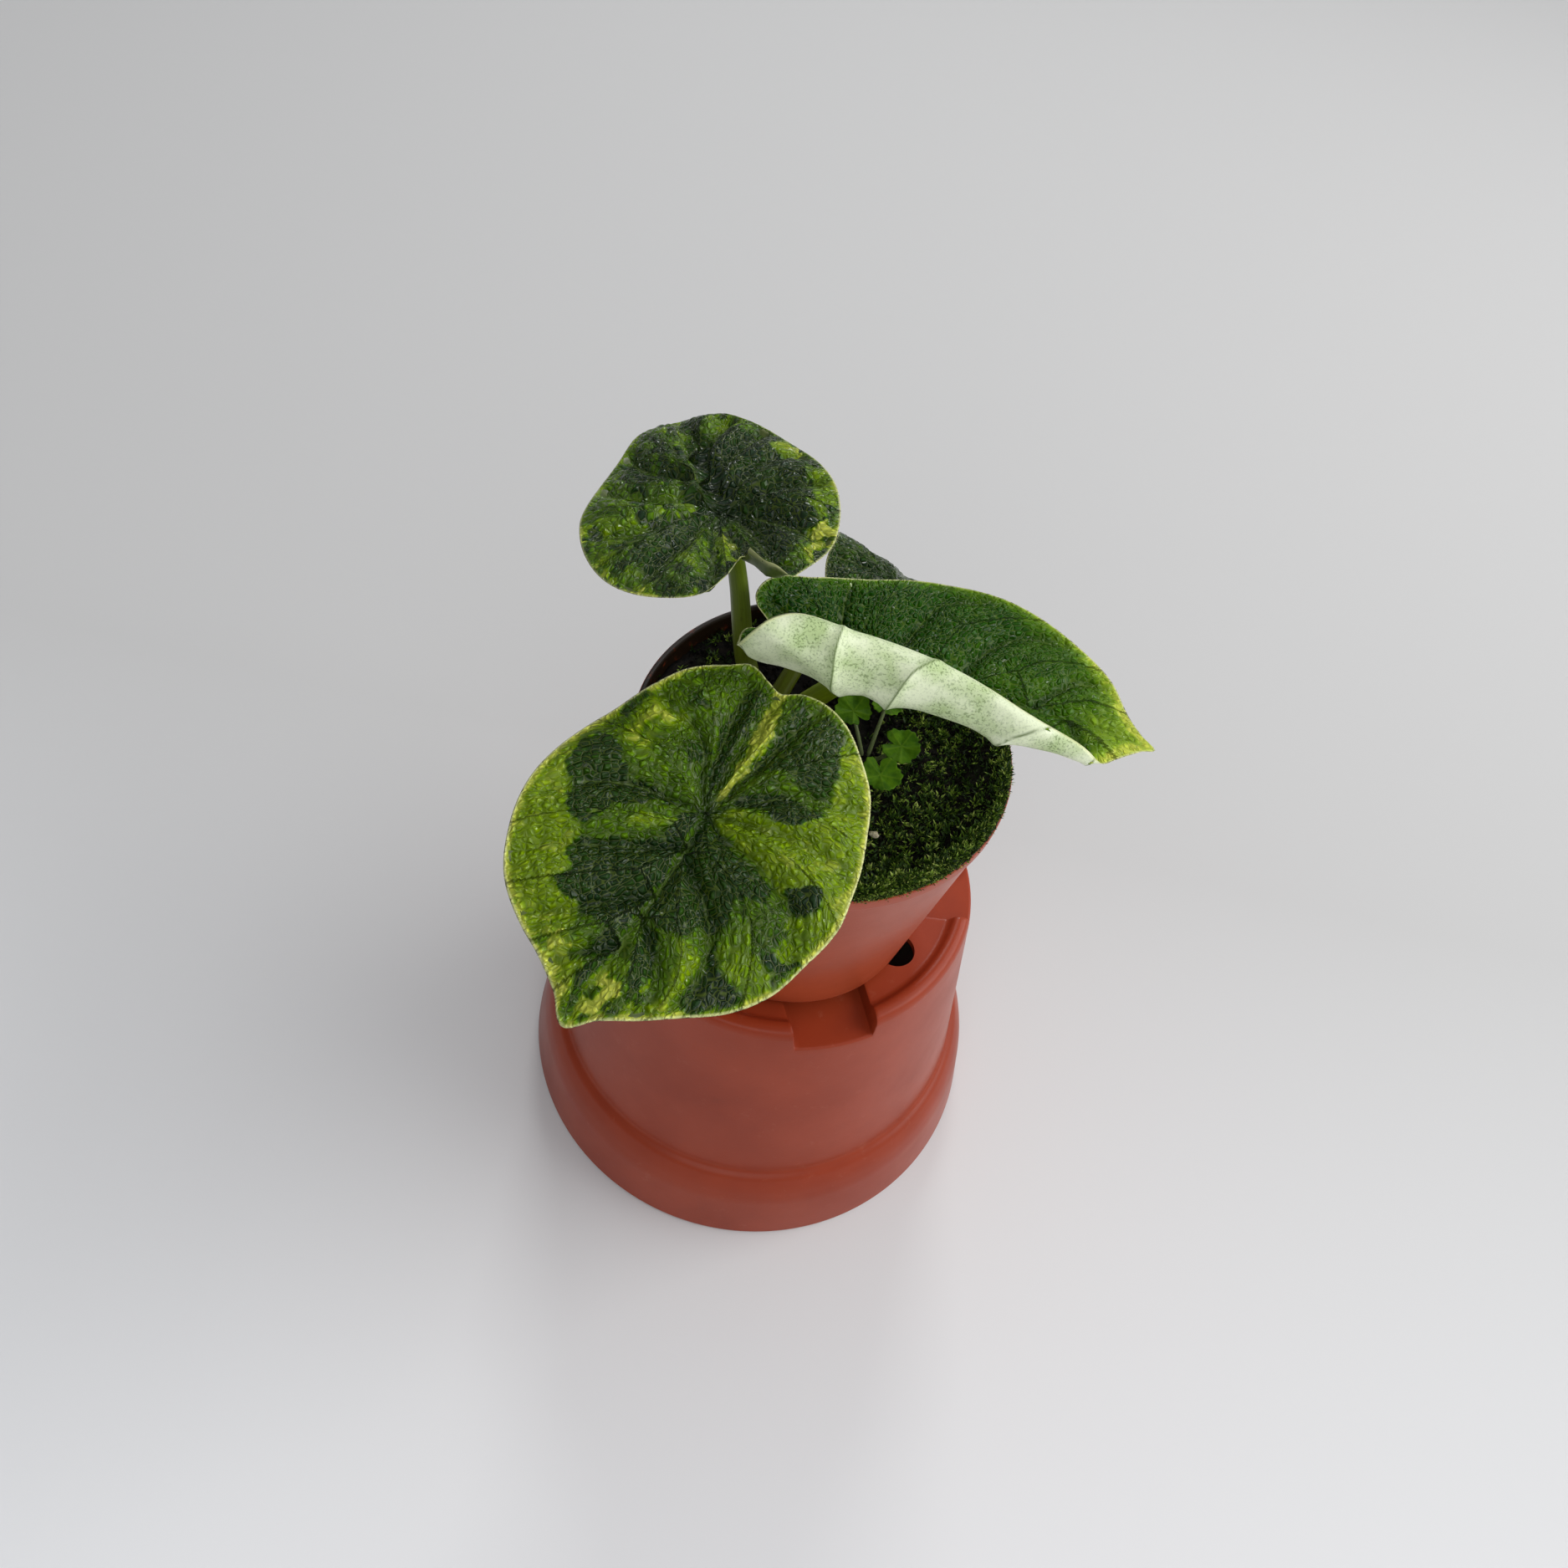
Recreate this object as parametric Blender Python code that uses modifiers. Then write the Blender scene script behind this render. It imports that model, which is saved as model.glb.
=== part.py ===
"""Potted alocasia: a small nursery pot with four quilted leaves, standing on an upturned larger pot.

Units are metres, +Z is up.  Helper functions take millimetres and convert once, through MM.
"""
import math

import bmesh
import bpy
from mathutils import Matrix, Vector

MM = 0.001

# ---- upturned stand pot (12 cm nursery pot, open rim on the table) ----
STAND_RIM_R = 60.0
STAND_BAND_TOP_R = 57.6
STAND_BAND_H = 16.5
STAND_GROOVE_R = 52.6
STAND_GROOVE_Z = 24.5
STAND_H = 85.0
STAND_FOOT_R = 45.2
STAND_FOOT_W = 4.6
STAND_FLOOR_Z = 83.2
STAND_WALL = 1.6
NOTCH_COUNT = 5
NOTCH_W = 18.5
NOTCH_FIRST_DEG = -65.0
NOTCH_FLOOR_Z = 79.6
NOTCH_INNER_R = 25.0
DRAIN_R = 4.4
DRAIN_RING_R = 33.0

# ---- grow pot (7.5 cm nursery pot) ----
GROW_X, GROW_Y = 1.9, -8.0
GROW_BASE_Z = 83.5
GROW_RIM_Z = 142.0
GROW_RIM_R = 38.0
GROW_BASE_R = 28.6
GROW_WALL = 1.1
GROW_FLOOR = 1.4

GAP = 0.3               # clearance kept between neighbouring solids
BLADE_T = 0.8           # leaf blade thickness
CROWN = Vector((-10.0, -7.0, 137.8))
CROWN_R = 6.0


def wipe_scene():
    for obj in list(bpy.data.objects):
        bpy.data.objects.remove(obj, do_unlink=True)
    for coll in list(bpy.data.collections):
        bpy.data.collections.remove(coll)


def new_collection(name):
    coll = bpy.data.collections.new(name)
    bpy.context.scene.collection.children.link(coll)
    return coll


wipe_scene()
PLANT = new_collection("potted_alocasia")
CUTTERS = new_collection("cutters")
ROOT = bpy.data.objects.new("alocasia_root", None)
ROOT.empty_display_size = 0.02
PLANT.objects.link(ROOT)


def material(name, color, roughness, metallic=0.0):
    mat = bpy.data.materials.new(name)
    mat.use_nodes = True
    shader = mat.node_tree.nodes["Principled BSDF"]
    shader.inputs["Base Color"].default_value = (*color, 1.0)
    shader.inputs["Roughness"].default_value = roughness
    shader.inputs["Metallic"].default_value = metallic
    mat.diffuse_color = (*color, 1.0)
    return mat


TERRACOTTA = material("terracotta_plastic", (0.32, 0.105, 0.065), 0.42)
TERRACOTTA_DARK = material("terracotta_plastic_old", (0.27, 0.085, 0.055), 0.5)
SOIL = material("potting_mix", (0.012, 0.009, 0.007), 0.95)
BLADE = material("leaf_green", (0.05, 0.13, 0.02), 0.35)
BLADE_NEW = material("leaf_new_green", (0.06, 0.2, 0.02), 0.3)
STALK = material("petiole_olive", (0.11, 0.13, 0.015), 0.45)
CROWN_MAT = material("crown_sheath", (0.14, 0.12, 0.03), 0.6)
MOSS = material("moss_green", (0.05, 0.11, 0.015), 0.9)
WEED = material("seedling_green", (0.09, 0.2, 0.03), 0.6)
GRIT = material("perlite_cream", (0.62, 0.55, 0.4), 0.85)


def add_object(name, mesh, mat, collection=PLANT):
    obj = bpy.data.objects.new(name, mesh)
    collection.objects.link(obj)
    if mat:
        mesh.materials.append(mat)
    obj.parent = ROOT
    if collection is CUTTERS:
        obj.hide_render = True
        obj.display_type = 'WIRE'
    return obj


def smooth(mesh, angle_deg=40.0):
    mesh.shade_smooth()
    mesh.set_sharp_from_angle(angle=math.radians(angle_deg))


def turned(name, profile, mat, steps=48, location=(0, 0, 0), collection=PLANT):
    """A profile of (radius, height) pairs in mm, top to bottom down its outer side, turned about Z."""
    mesh = bpy.data.meshes.new(name)
    verts = [(r * MM, 0.0, z * MM) for r, z in profile]
    edges = [(i, i + 1) for i in range(len(verts) - 1)]
    mesh.from_pydata(verts, edges, [])
    obj = add_object(name, mesh, mat, collection)
    obj.location = Vector(location) * MM
    screw = obj.modifiers.new("Turn", 'SCREW')
    screw.axis = 'Z'
    screw.steps = steps
    screw.render_steps = steps
    screw.use_merge_vertices = True
    screw.merge_threshold = 0.00001
    screw.use_smooth_shade = True
    return obj


def boolean(obj, name, operation, cutter):
    mod = obj.modifiers.new(name, 'BOOLEAN')
    mod.operation = operation
    mod.solver = 'EXACT'
    mod.object = cutter
    return mod


def box_ring(name, count, first_deg, r0, r1, width, z0, z1, bevel=0.0):
    """Boxes standing around the Z axis, each reaching from radius r0 to r1, joined in one cutter."""
    bm = bmesh.new()
    for i in range(count):
        angle = math.radians(first_deg + i * 360.0 / count)
        placed = (Matrix.Rotation(angle, 4, 'Z')
                  @ Matrix.Translation(Vector(((r0 + r1) / 2, 0, (z0 + z1) / 2)) * MM)
                  @ Matrix.Diagonal(((r1 - r0) * MM, width * MM, (z1 - z0) * MM, 1.0)))
        bmesh.ops.create_cube(bm, size=1.0, matrix=placed)
    mesh = bpy.data.meshes.new(name)
    bm.to_mesh(mesh)
    bm.free()
    obj = add_object(name, mesh, None, CUTTERS)
    if bevel:
        mod = obj.modifiers.new("Round", 'BEVEL')
        mod.width = bevel * MM
        mod.segments = 2
        mod.limit_method = 'ANGLE'
    return obj


def pin_ring(name, count, first_deg, ring_r, pin_r, z0, z1, location=(0, 0)):
    """Round pins standing around the Z axis, joined in one cutter for drainage holes."""
    bm = bmesh.new()
    for i in range(count):
        angle = math.radians(first_deg + i * 360.0 / count)
        centre = Vector((ring_r * math.cos(angle), ring_r * math.sin(angle), (z0 + z1) / 2))
        bmesh.ops.create_cone(bm, cap_ends=True, segments=16, radius1=pin_r * MM, radius2=pin_r * MM,
                              depth=(z1 - z0) * MM, matrix=Matrix.Translation(centre * MM))
    mesh = bpy.data.meshes.new(name)
    bm.to_mesh(mesh)
    bm.free()
    obj = add_object(name, mesh, None, CUTTERS)
    obj.location = Vector((location[0], location[1], 0)) * MM
    return obj


# ---------------------------------------------------------------- stand pot
def stand_outer(inset=0.0):
    """Outer side of the upturned pot, from the foot ring's crest down to the rim."""
    return [
        (STAND_FOOT_R - 2.2, STAND_H - inset),
        (STAND_FOOT_R - 0.9 - inset * 0.6, STAND_H - 0.5 - inset * 0.6),
        (STAND_FOOT_R - inset, STAND_H - 1.8),
        (STAND_GROOVE_R - inset, STAND_GROOVE_Z),
        (STAND_GROOVE_R + 1.9 - inset, STAND_GROOVE_Z - 0.9),
        (STAND_BAND_TOP_R - 1.5 - inset, STAND_BAND_H + 4.0),
        (STAND_BAND_TOP_R - inset, STAND_BAND_H),
        (STAND_RIM_R - inset, 0.6 if not inset else 0.0),
    ]


stand_profile = (
    [(0.0, STAND_FLOOR_Z),
     (STAND_FOOT_R - STAND_FOOT_W - 0.3, STAND_FLOOR_Z),
     (STAND_FOOT_R - STAND_FOOT_W + 0.2, STAND_FLOOR_Z + 0.5),
     (STAND_FOOT_R - STAND_FOOT_W + 1.0, STAND_H - 0.35)]
    + stand_outer()
    + [(STAND_RIM_R - 0.6, 0.0),
       (STAND_RIM_R - STAND_WALL, 0.0),
       (STAND_BAND_TOP_R - STAND_WALL, STAND_BAND_H - 0.6),
       (STAND_BAND_TOP_R - 2.6 - STAND_WALL, STAND_BAND_H + 4.0),
       (STAND_GROOVE_R - STAND_WALL, STAND_GROOVE_Z + 0.4),
       (STAND_FOOT_R + 0.5 - STAND_WALL, STAND_FLOOR_Z - STAND_WALL),
       (0.0, STAND_FLOOR_Z - STAND_WALL)]
)
stand_pot = turned("stand_pot", stand_profile, TERRACOTTA_DARK)

# each notch is a pocket with a floor and side walls of its own, let into the floor and the foot ring
envelope = turned("notch_envelope",
                  [(0.0, STAND_FLOOR_Z - 0.7), (STAND_FOOT_R - 1.2, STAND_FLOOR_Z - 0.7),
                   (STAND_FOOT_R - 0.75, STAND_FLOOR_Z - 1.6), (STAND_FOOT_R + 0.65 - 0.75, 76.0), (0.0, 76.0)],
                  None, collection=CUTTERS)
pockets = box_ring("notch_pockets", NOTCH_COUNT, NOTCH_FIRST_DEG, NOTCH_INNER_R - STAND_WALL, 52.0,
                   NOTCH_W + 2 * STAND_WALL, NOTCH_FLOOR_Z - STAND_WALL, STAND_FLOOR_Z + 6.0)
boolean(pockets, "Keep inside the shell", 'INTERSECT', envelope)
notches = box_ring("notch_cutters", NOTCH_COUNT, NOTCH_FIRST_DEG, NOTCH_INNER_R, 60.0,
                   NOTCH_W, NOTCH_FLOOR_Z, STAND_H + 6.0, bevel=1.2)
stand_drains = pin_ring("stand_drain_cutters", NOTCH_COUNT, NOTCH_FIRST_DEG + 36.0, DRAIN_RING_R, DRAIN_R,
                        STAND_FLOOR_Z - 8.0, STAND_FLOOR_Z + 8.0)
boolean(stand_pot, "Pocket walls", 'UNION', pockets)
boolean(stand_pot, "Notches", 'DIFFERENCE', notches)
boolean(stand_pot, "Drain holes", 'DIFFERENCE', stand_drains)


# ---------------------------------------------------------------- grow pot
def grow_inner_r(z):
    """Inner radius of the grow pot at height z, both in mm."""
    k = (z - GROW_BASE_Z) / (GROW_RIM_Z - GROW_BASE_Z)
    return GROW_BASE_R + (GROW_RIM_R - GROW_BASE_R) * k - GROW_WALL


grow_profile = [
    (0.0, GROW_BASE_Z + GROW_FLOOR),
    (grow_inner_r(GROW_BASE_Z + GROW_FLOOR) - 0.8, GROW_BASE_Z + GROW_FLOOR),
    (grow_inner_r(GROW_BASE_Z + GROW_FLOOR + 1.0), GROW_BASE_Z + GROW_FLOOR + 1.0),
    (grow_inner_r(GROW_RIM_Z), GROW_RIM_Z - 0.3),
    (GROW_RIM_R - 0.8, GROW_RIM_Z),
    (GROW_RIM_R - 0.3, GROW_RIM_Z),
    (GROW_RIM_R, GROW_RIM_Z - 0.4),
    (GROW_RIM_R - 0.15, GROW_RIM_Z - 3.2),
    (GROW_RIM_R - 0.75, GROW_RIM_Z - 3.8),
    (GROW_BASE_R + 0.1, GROW_BASE_Z + 1.2),
    (GROW_BASE_R - 0.9, GROW_BASE_Z),
    (0.0, GROW_BASE_Z),
]
grow_pot = turned("grow_pot", grow_profile, TERRACOTTA, location=(GROW_X, GROW_Y, 0))
grow_drains = pin_ring("grow_drain_cutters", 5, 20.0, 20.0, 3.0, GROW_BASE_Z - 4.0, GROW_BASE_Z + GROW_FLOOR + 4.0,
                       location=(GROW_X, GROW_Y))
boolean(grow_pot, "Drain holes", 'DIFFERENCE', grow_drains)


# ---------------------------------------------------------------- potting mix and what lies on it
def soil_height(x, y):
    """Height of the potting mix: higher at the front right, sunk at the back left, calm by the crown."""
    tilt = 136.0 + 0.05 * (x - GROW_X) - 0.04 * (y - GROW_Y)
    bumps = 0.35 * math.sin(0.41 * x + 1.3) * math.cos(0.37 * y - 0.4) + 0.2 * math.sin(0.23 * x - 0.61 * y)
    near = math.exp(-((x - CROWN.x) ** 2 + (y - CROWN.y) ** 2) / 90.0)
    return tilt + bumps * (1.0 - near)


def potting_mix():
    """A lathe-like plug whose top rings follow soil_height."""
    bm = bmesh.new()
    segs = 40
    top_z = 134.0
    bottom_z = GROW_BASE_Z + GROW_FLOOR + 1.0 + GAP
    side = [(grow_inner_r(bottom_z) - GAP - 0.2, bottom_z), (grow_inner_r(top_z) - GAP, top_z)]
    rings = []
    for r, z in side:
        rings.append([bm.verts.new(Vector((r * math.cos(a), r * math.sin(a), z)) * MM)
                      for a in (2 * math.pi * i / segs for i in range(segs))])
    for r in (grow_inner_r(134.5) - GAP, 31.0, 24.0, 16.0, 8.0):
        ring = []
        for i in range(segs):
            a = 2 * math.pi * i / segs
            x, y = r * math.cos(a), r * math.sin(a)
            ring.append(bm.verts.new(Vector((x, y, soil_height(x + GROW_X, y + GROW_Y))) * MM))
        rings.append(ring)
    centre = bm.verts.new(Vector((0, 0, soil_height(GROW_X, GROW_Y))) * MM)
    for low, high in zip(rings, rings[1:]):
        for i in range(segs):
            j = (i + 1) % segs
            bm.faces.new((low[i], low[j], high[j], high[i]))
    for i in range(segs):
        bm.faces.new((rings[-1][i], rings[-1][(i + 1) % segs], centre))
    bm.faces.new(list(reversed(rings[0])))
    mesh = bpy.data.meshes.new("potting_mix")
    bm.to_mesh(mesh)
    bm.free()
    smooth(mesh)
    obj = add_object("potting_mix", mesh, SOIL)
    obj.location = Vector((GROW_X, GROW_Y, 0)) * MM
    return obj


potting_mix()


def cushion(name, az_deg, ring_r, along, across, height, phase):
    """A moss cushion on the potting mix: a squashed, lumpy ball with its underside on the surface."""
    bm = bmesh.new()
    bmesh.ops.create_icosphere(bm, subdivisions=2, radius=1.0)
    az = math.radians(az_deg)
    cx, cy = GROW_X + ring_r * math.cos(az), GROW_Y + ring_r * math.sin(az)
    for v in bm.verts:
        around = math.atan2(v.co.y, v.co.x)
        lobe = 1.0 + 0.13 * math.sin(3 * around + phase) + 0.07 * math.sin(7 * around - phase)
        u, w = v.co.x * across * lobe, v.co.y * along * lobe
        x = cx + u * math.cos(az) - w * math.sin(az)
        y = cy + u * math.sin(az) + w * math.cos(az)
        floor = soil_height(x, y) + 0.55
        lumps = 0.25 * math.sin(1.3 * x + phase) * math.sin(1.1 * y)
        if v.co.z > 0.02:
            z = floor + v.co.z * (height + lumps)
        else:
            z = floor + 0.12 * v.co.z
        v.co = Vector((x, y, z)) * MM
    mesh = bpy.data.meshes.new(name)
    bm.to_mesh(mesh)
    bm.free()
    smooth(mesh, 80)
    return add_object(name, mesh, MOSS)


cushion("moss_front", -75.0, 28.5, 9.0, 4.6, 2.2, 0.4)
cushion("moss_front_right", -35.5, 28.0, 8.2, 5.2, 2.6, 1.7)
cushion("moss_right", 3.0, 27.5, 7.8, 5.4, 2.3, 2.9)
cushion("moss_back_right", 41.0, 27.0, 7.6, 5.2, 2.0, 4.1)
cushion("moss_back_left", 135.0, 29.0, 7.0, 4.2, 2.4, 5.0)


def grain(name, az_deg, ring_r, size, turn_deg):
    """One irregular crumb of perlite resting on the potting mix by the rim."""
    bm = bmesh.new()
    bmesh.ops.create_icosphere(bm, subdivisions=1, radius=1.0)
    az = math.radians(az_deg)
    for i, v in enumerate(bm.verts):
        v.co *= 1.0 + 0.16 * math.sin(2.7 * i + turn_deg)
        v.co = Vector((v.co.x * size, v.co.y * size * 0.8, v.co.z * size * 0.7))
    mesh = bpy.data.meshes.new(name)
    for v in bm.verts:
        v.co *= MM
    bm.to_mesh(mesh)
    bm.free()
    obj = add_object(name, mesh, GRIT)
    x, y = GROW_X + ring_r * math.cos(az), GROW_Y + ring_r * math.sin(az)
    obj.location = Vector((x, y, soil_height(x, y) + 0.5 + size * 0.85)) * MM
    obj.rotation_euler = (0.0, 0.0, math.radians(turn_deg))
    return obj


grain("perlite_1", -76.0, 34.4, 0.95, 20.0)
grain("perlite_2", -68.0, 34.3, 1.1, 75.0)
grain("perlite_3", -60.0, 34.4, 0.9, 130.0)
grain("perlite_4", -51.5, 34.3, 1.0, 10.0)
grain("perlite_5", -54.0, 22.5, 1.2, 200.0)
grain("perlite_6", -20.0, 34.5, 0.9, 260.0)


# ---------------------------------------------------------------- crown and petioles
def crown():
    """Top of the corm, wrapped in the old sheaths, that every petiole grows out of."""
    profile = []
    for i in range(9):
        a = math.radians(90.0 - i * 13.0)
        profile.append((max(0.0, CROWN_R * math.cos(a)) if i else 0.0, CROWN_R * math.sin(a)))
    profile.append((0.0, profile[-1][1]))
    return turned("crown", profile, CROWN_MAT, steps=20, location=CROWN)


crown()


def spline_points(keys, count):
    """Points along a Catmull-Rom curve through the keys."""
    keys = [Vector(k) for k in keys]
    ext = [keys[0] * 2 - keys[1]] + keys + [keys[-1] * 2 - keys[-2]]
    out = []
    spans = len(keys) - 1
    for i in range(count):
        f = i / (count - 1) * spans
        k = min(int(f), spans - 1)
        t = f - k
        p0, p1, p2, p3 = ext[k:k + 4]
        out.append(0.5 * (2 * p1 + (p2 - p0) * t + (2 * p0 - 5 * p1 + 4 * p2 - p3) * t * t
                          + (3 * p1 - p0 - 3 * p2 + p3) * t ** 3))
    return out


def stalk(name, keys, r_base, r_tip, mat, count=12):
    """A tapering round stalk along a smooth path."""
    curve = bpy.data.curves.new(name, 'CURVE')
    curve.dimensions = '3D'
    curve.bevel_depth = r_base * MM
    curve.bevel_resolution = 3
    curve.use_fill_caps = True
    spline = curve.splines.new('POLY')
    points = spline_points(keys, count)
    spline.points.add(len(points) - 1)
    for i, p in enumerate(points):
        spline.points[i].co = (*(p * MM), 1.0)
        spline.points[i].radius = 1.0 + (r_tip / r_base - 1.0) * i / (len(points) - 1)
    obj = bpy.data.objects.new(name, curve)
    curve.materials.append(mat)
    PLANT.objects.link(obj)
    obj.parent = ROOT
    return obj


# ---------------------------------------------------------------- leaf blades
def outline_radius(outline, deg):
    """Smooth closed outline through (degrees, radius) pairs around the petiole's hub."""
    n = len(outline)
    deg %= 360.0
    k = max(i for i in range(n) if outline[i][0] <= deg)

    def at(i):
        return outline[i % n][0] + 360.0 * (i // n), outline[i % n][1]
    (a0, r0), (a1, r1), (a2, r2), (a3, r3) = at(k - 1), at(k), at(k + 1), at(k + 2)
    h = a2 - a1
    t = (deg - a1) / h
    m1 = (r2 - r0) / (a2 - a0) * h
    m2 = (r3 - r1) / (a3 - a1) * h
    return ((2 * t ** 3 - 3 * t ** 2 + 1) * r1 + (t ** 3 - 2 * t ** 2 + t) * m1
            + (-2 * t ** 3 + 3 * t ** 2) * r2 + (t ** 3 - t ** 2) * m2)


def leaf_frame(hub, toward, facing):
    """Local frame of a leaf: X to the tip, Z out of the upper face, origin at the hub."""
    x_axis = Vector(toward).normalized()
    y_axis = Vector(facing).cross(x_axis).normalized()
    z_axis = x_axis.cross(y_axis)
    rot = Matrix((x_axis, y_axis, z_axis)).transposed().to_4x4()
    return Matrix.Translation(Vector(hub) * MM) @ rot, z_axis


def blade(name, hub, toward, facing, outline, form, mat, rings=6, spokes=40, thickness=BLADE_T):
    """A leaf blade: an open surface of rings and spokes about the hub, shaped by form, then thickened."""
    bm = bmesh.new()
    centre = bm.verts.new(Vector(form(0.0, 0.0, 0.0, 0.0)) * MM)
    grid = []
    for i in range(1, rings + 1):
        t = (i / rings) ** 0.9
        ring = []
        for j in range(spokes):
            deg = 360.0 * j / spokes
            phi = math.radians(deg)
            rho = t * outline_radius(outline, deg)
            ring.append(bm.verts.new(Vector(form(rho * math.cos(phi), rho * math.sin(phi), t, phi)) * MM))
        grid.append(ring)
    for j in range(spokes):
        k = (j + 1) % spokes
        bm.faces.new((centre, grid[0][j], grid[0][k]))
        for inner, outer in zip(grid, grid[1:]):
            bm.faces.new((inner[j], outer[j], outer[k], inner[k]))
    mesh = bpy.data.meshes.new(name)
    bm.to_mesh(mesh)
    bm.free()
    smooth(mesh, 60)
    obj = add_object(name, mesh, mat)
    obj.matrix_local = leaf_frame(hub, toward, facing)[0]
    solid = obj.modifiers.new("Thickness", 'SOLIDIFY')
    solid.thickness = thickness * MM
    solid.offset = -1.0
    return obj


FRONT_HUB, FRONT_TO, FRONT_UP = (-14.6, -48.2, 165.0), (-0.313, -0.934, -0.174), (0.054, -0.2, 0.978)
FRONT_OUTLINE = [(0, 42), (6, 39), (15, 36.5), (25, 34.5), (44, 32), (62, 30), (95, 28), (134, 28), (160, 28.5),
                 (172, 28.5), (182, 25.5), (191, 28), (204, 28.5), (225, 27), (250, 24), (270, 25.5), (294, 30),
                 (320, 35), (345, 36), (354, 38.5)]


def front_form(s, q, t, phi):
    lift = 3.4 * t * (1.0 - 0.8 * t * t) * (0.4 + 0.6 * math.sin(phi) ** 2)
    wave = 0.9 * t ** 3 * math.sin(5 * phi + 0.6)
    tip = 2.0 * max(0.0, (s - 28.0) / 14.0) ** 2
    return s, q, lift + wave - tip


BACK_HUB, BACK_TO, BACK_UP = (-25.4, 0.0, 188.0), (-0.39, 0.885, -0.254), (-0.268, 0.155, 0.951)
BACK_OUTLINE = [(0, 36.5), (12, 34), (30, 27.5), (50, 24), (70, 22.8), (90, 24), (110, 26), (132, 28.5), (150, 30),
                (163, 29.5), (172, 25), (180, 20), (188, 24), (197, 28), (210, 26.8), (228, 23.6), (250, 21.2),
                (275, 20.6), (300, 22.2), (318, 25), (335, 29.5), (350, 34.5)]


def back_form(s, q, t, phi):
    lift = 3.2 * t * (1.0 - 0.7 * t * t) * (0.35 + 0.65 * math.sin(phi) ** 2)
    droop = 0.05 * max(0.0, s - 30.0) ** 2
    fold = 0.006 * max(0.0, -q - 9.0) ** 2
    wave = 0.8 * t ** 3 * math.sin(4 * phi + 2.0)
    return s, q, lift + wave - droop - fold


RIGHT_HUB, RIGHT_TO, RIGHT_UP = (4.0, -9.0, 166.3), (56.0, -2.2, -1.2), (0.05, 0.0, 1.0)
RIGHT_OUTLINE = [(0, 56), (6, 52), (14, 49.5), (24, 44.5), (42, 36.5), (63, 27.5), (92, 21), (125, 19.5), (147, 21.5),
                 (162, 22.5), (172, 21), (180, 15.5), (187, 21.5), (197, 21.5), (210, 22), (228, 24.5), (250, 26.5),
                 (270, 27), (300, 29), (324, 35), (343, 45), (352, 50.5)]


def right_form(s, q, t, phi):
    """The far half lies open; the near half is still rolled up and over towards the midrib."""
    lengthwise = 4.6 * min(1.0, max(0.0, -s / 20.0)) ** 1.5
    lengthwise -= 1.8 * max(0.0, (s - 42.0) / 14.0) ** 2
    roll_from = 5.6 + 2.8 * math.exp(-((s - 36.0) / 17.0) ** 2)     # where the unopened half starts to roll
    if q >= -roll_from:
        return s, q, lengthwise + 0.002 * max(0.0, q) ** 2
    radius = 5.5 * (1.0 - min(1.0, max(0.0, s) / 60.0) ** 1.4)
    angle = min((-q - roll_from) / radius, math.radians(245.0))
    return s, -roll_from - radius * math.sin(angle), lengthwise + radius * (1.0 - math.cos(angle))


REAR_HUB, REAR_TO, REAR_UP = (9.8, 29.5, 152.5), (0.93, -0.16, -0.33), (0.33, 0.05, 0.94)
REAR_OUTLINE = [(0, 29), (12, 25), (35, 20), (65, 17), (95, 16), (130, 17), (155, 17.5), (170, 15.5), (180, 12),
                (190, 15.5), (205, 17.5), (230, 17), (265, 16), (295, 17), (325, 20), (348, 25)]


def rear_form(s, q, t, phi):
    slope = 0.8 if q > 0 else 0.35
    tent = slope * (math.sqrt(q * q + 16.0) - 4.0)
    return s, q, -tent - 0.002 * max(0.0, s) ** 2


blade("leaf_front", FRONT_HUB, FRONT_TO, FRONT_UP, FRONT_OUTLINE, front_form, BLADE)
blade("leaf_back", BACK_HUB, BACK_TO, BACK_UP, BACK_OUTLINE, back_form, BLADE)
blade("leaf_right", RIGHT_HUB, RIGHT_TO, RIGHT_UP, RIGHT_OUTLINE, right_form, BLADE_NEW, rings=9, spokes=44)
blade("leaf_rear", REAR_HUB, REAR_TO, REAR_UP, REAR_OUTLINE, rear_form, BLADE, rings=5, spokes=32)


def under_hub(hub, toward, facing, drop):
    """The point under a leaf's hub where its petiole ends, and one a little below it."""
    normal = leaf_frame(hub, toward, facing)[1]
    end = Vector(hub) - normal * drop
    return end - normal * 3.0, end


def from_crown(direction):
    return CROWN + Vector(direction).normalized() * (CROWN_R + 0.45)


low, end = under_hub(FRONT_HUB, FRONT_TO, FRONT_UP, BLADE_T + 0.4)
stalk("petiole_front", [from_crown((-0.05, -0.72, 0.69)), (-10.8, -17.5, 147.0), (-12.8, -32.0, 154.0),
                        (-14.0, -43.5, 157.6), low, end], 2.1, 1.6, STALK, count=16)
low, end = under_hub(BACK_HUB, BACK_TO, BACK_UP, BLADE_T + 0.4)
stalk("petiole_back", [from_crown((-0.42, 0.38, 0.82)), (-16.2, -0.2, 149.5), (-17.9, 0.5, 157.0),
                       (-19.8, 1.0, 168.6), (-21.6, 0.7, 177.0), low, end], 2.1, 1.5, STALK, count=18)
low, end = under_hub(RIGHT_HUB, RIGHT_TO, RIGHT_UP, BLADE_T + 0.4)
stalk("petiole_right", [from_crown((0.62, 0.2, 0.76)), (-2.4, -3.8, 147.0), (1.2, -5.0, 153.5),
                        (3.2, -8.0, 159.0), low, end], 2.2, 1.7, STALK, count=16)
low, end = under_hub(REAR_HUB, REAR_TO, REAR_UP, BLADE_T + 1.1)
stalk("petiole_rear", [from_crown((-0.02, 0.88, 0.48)), (-6.0, 8.0, 145.5), (0.5, 19.0, 149.0), low, end],
      1.7, 1.3, STALK)


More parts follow.
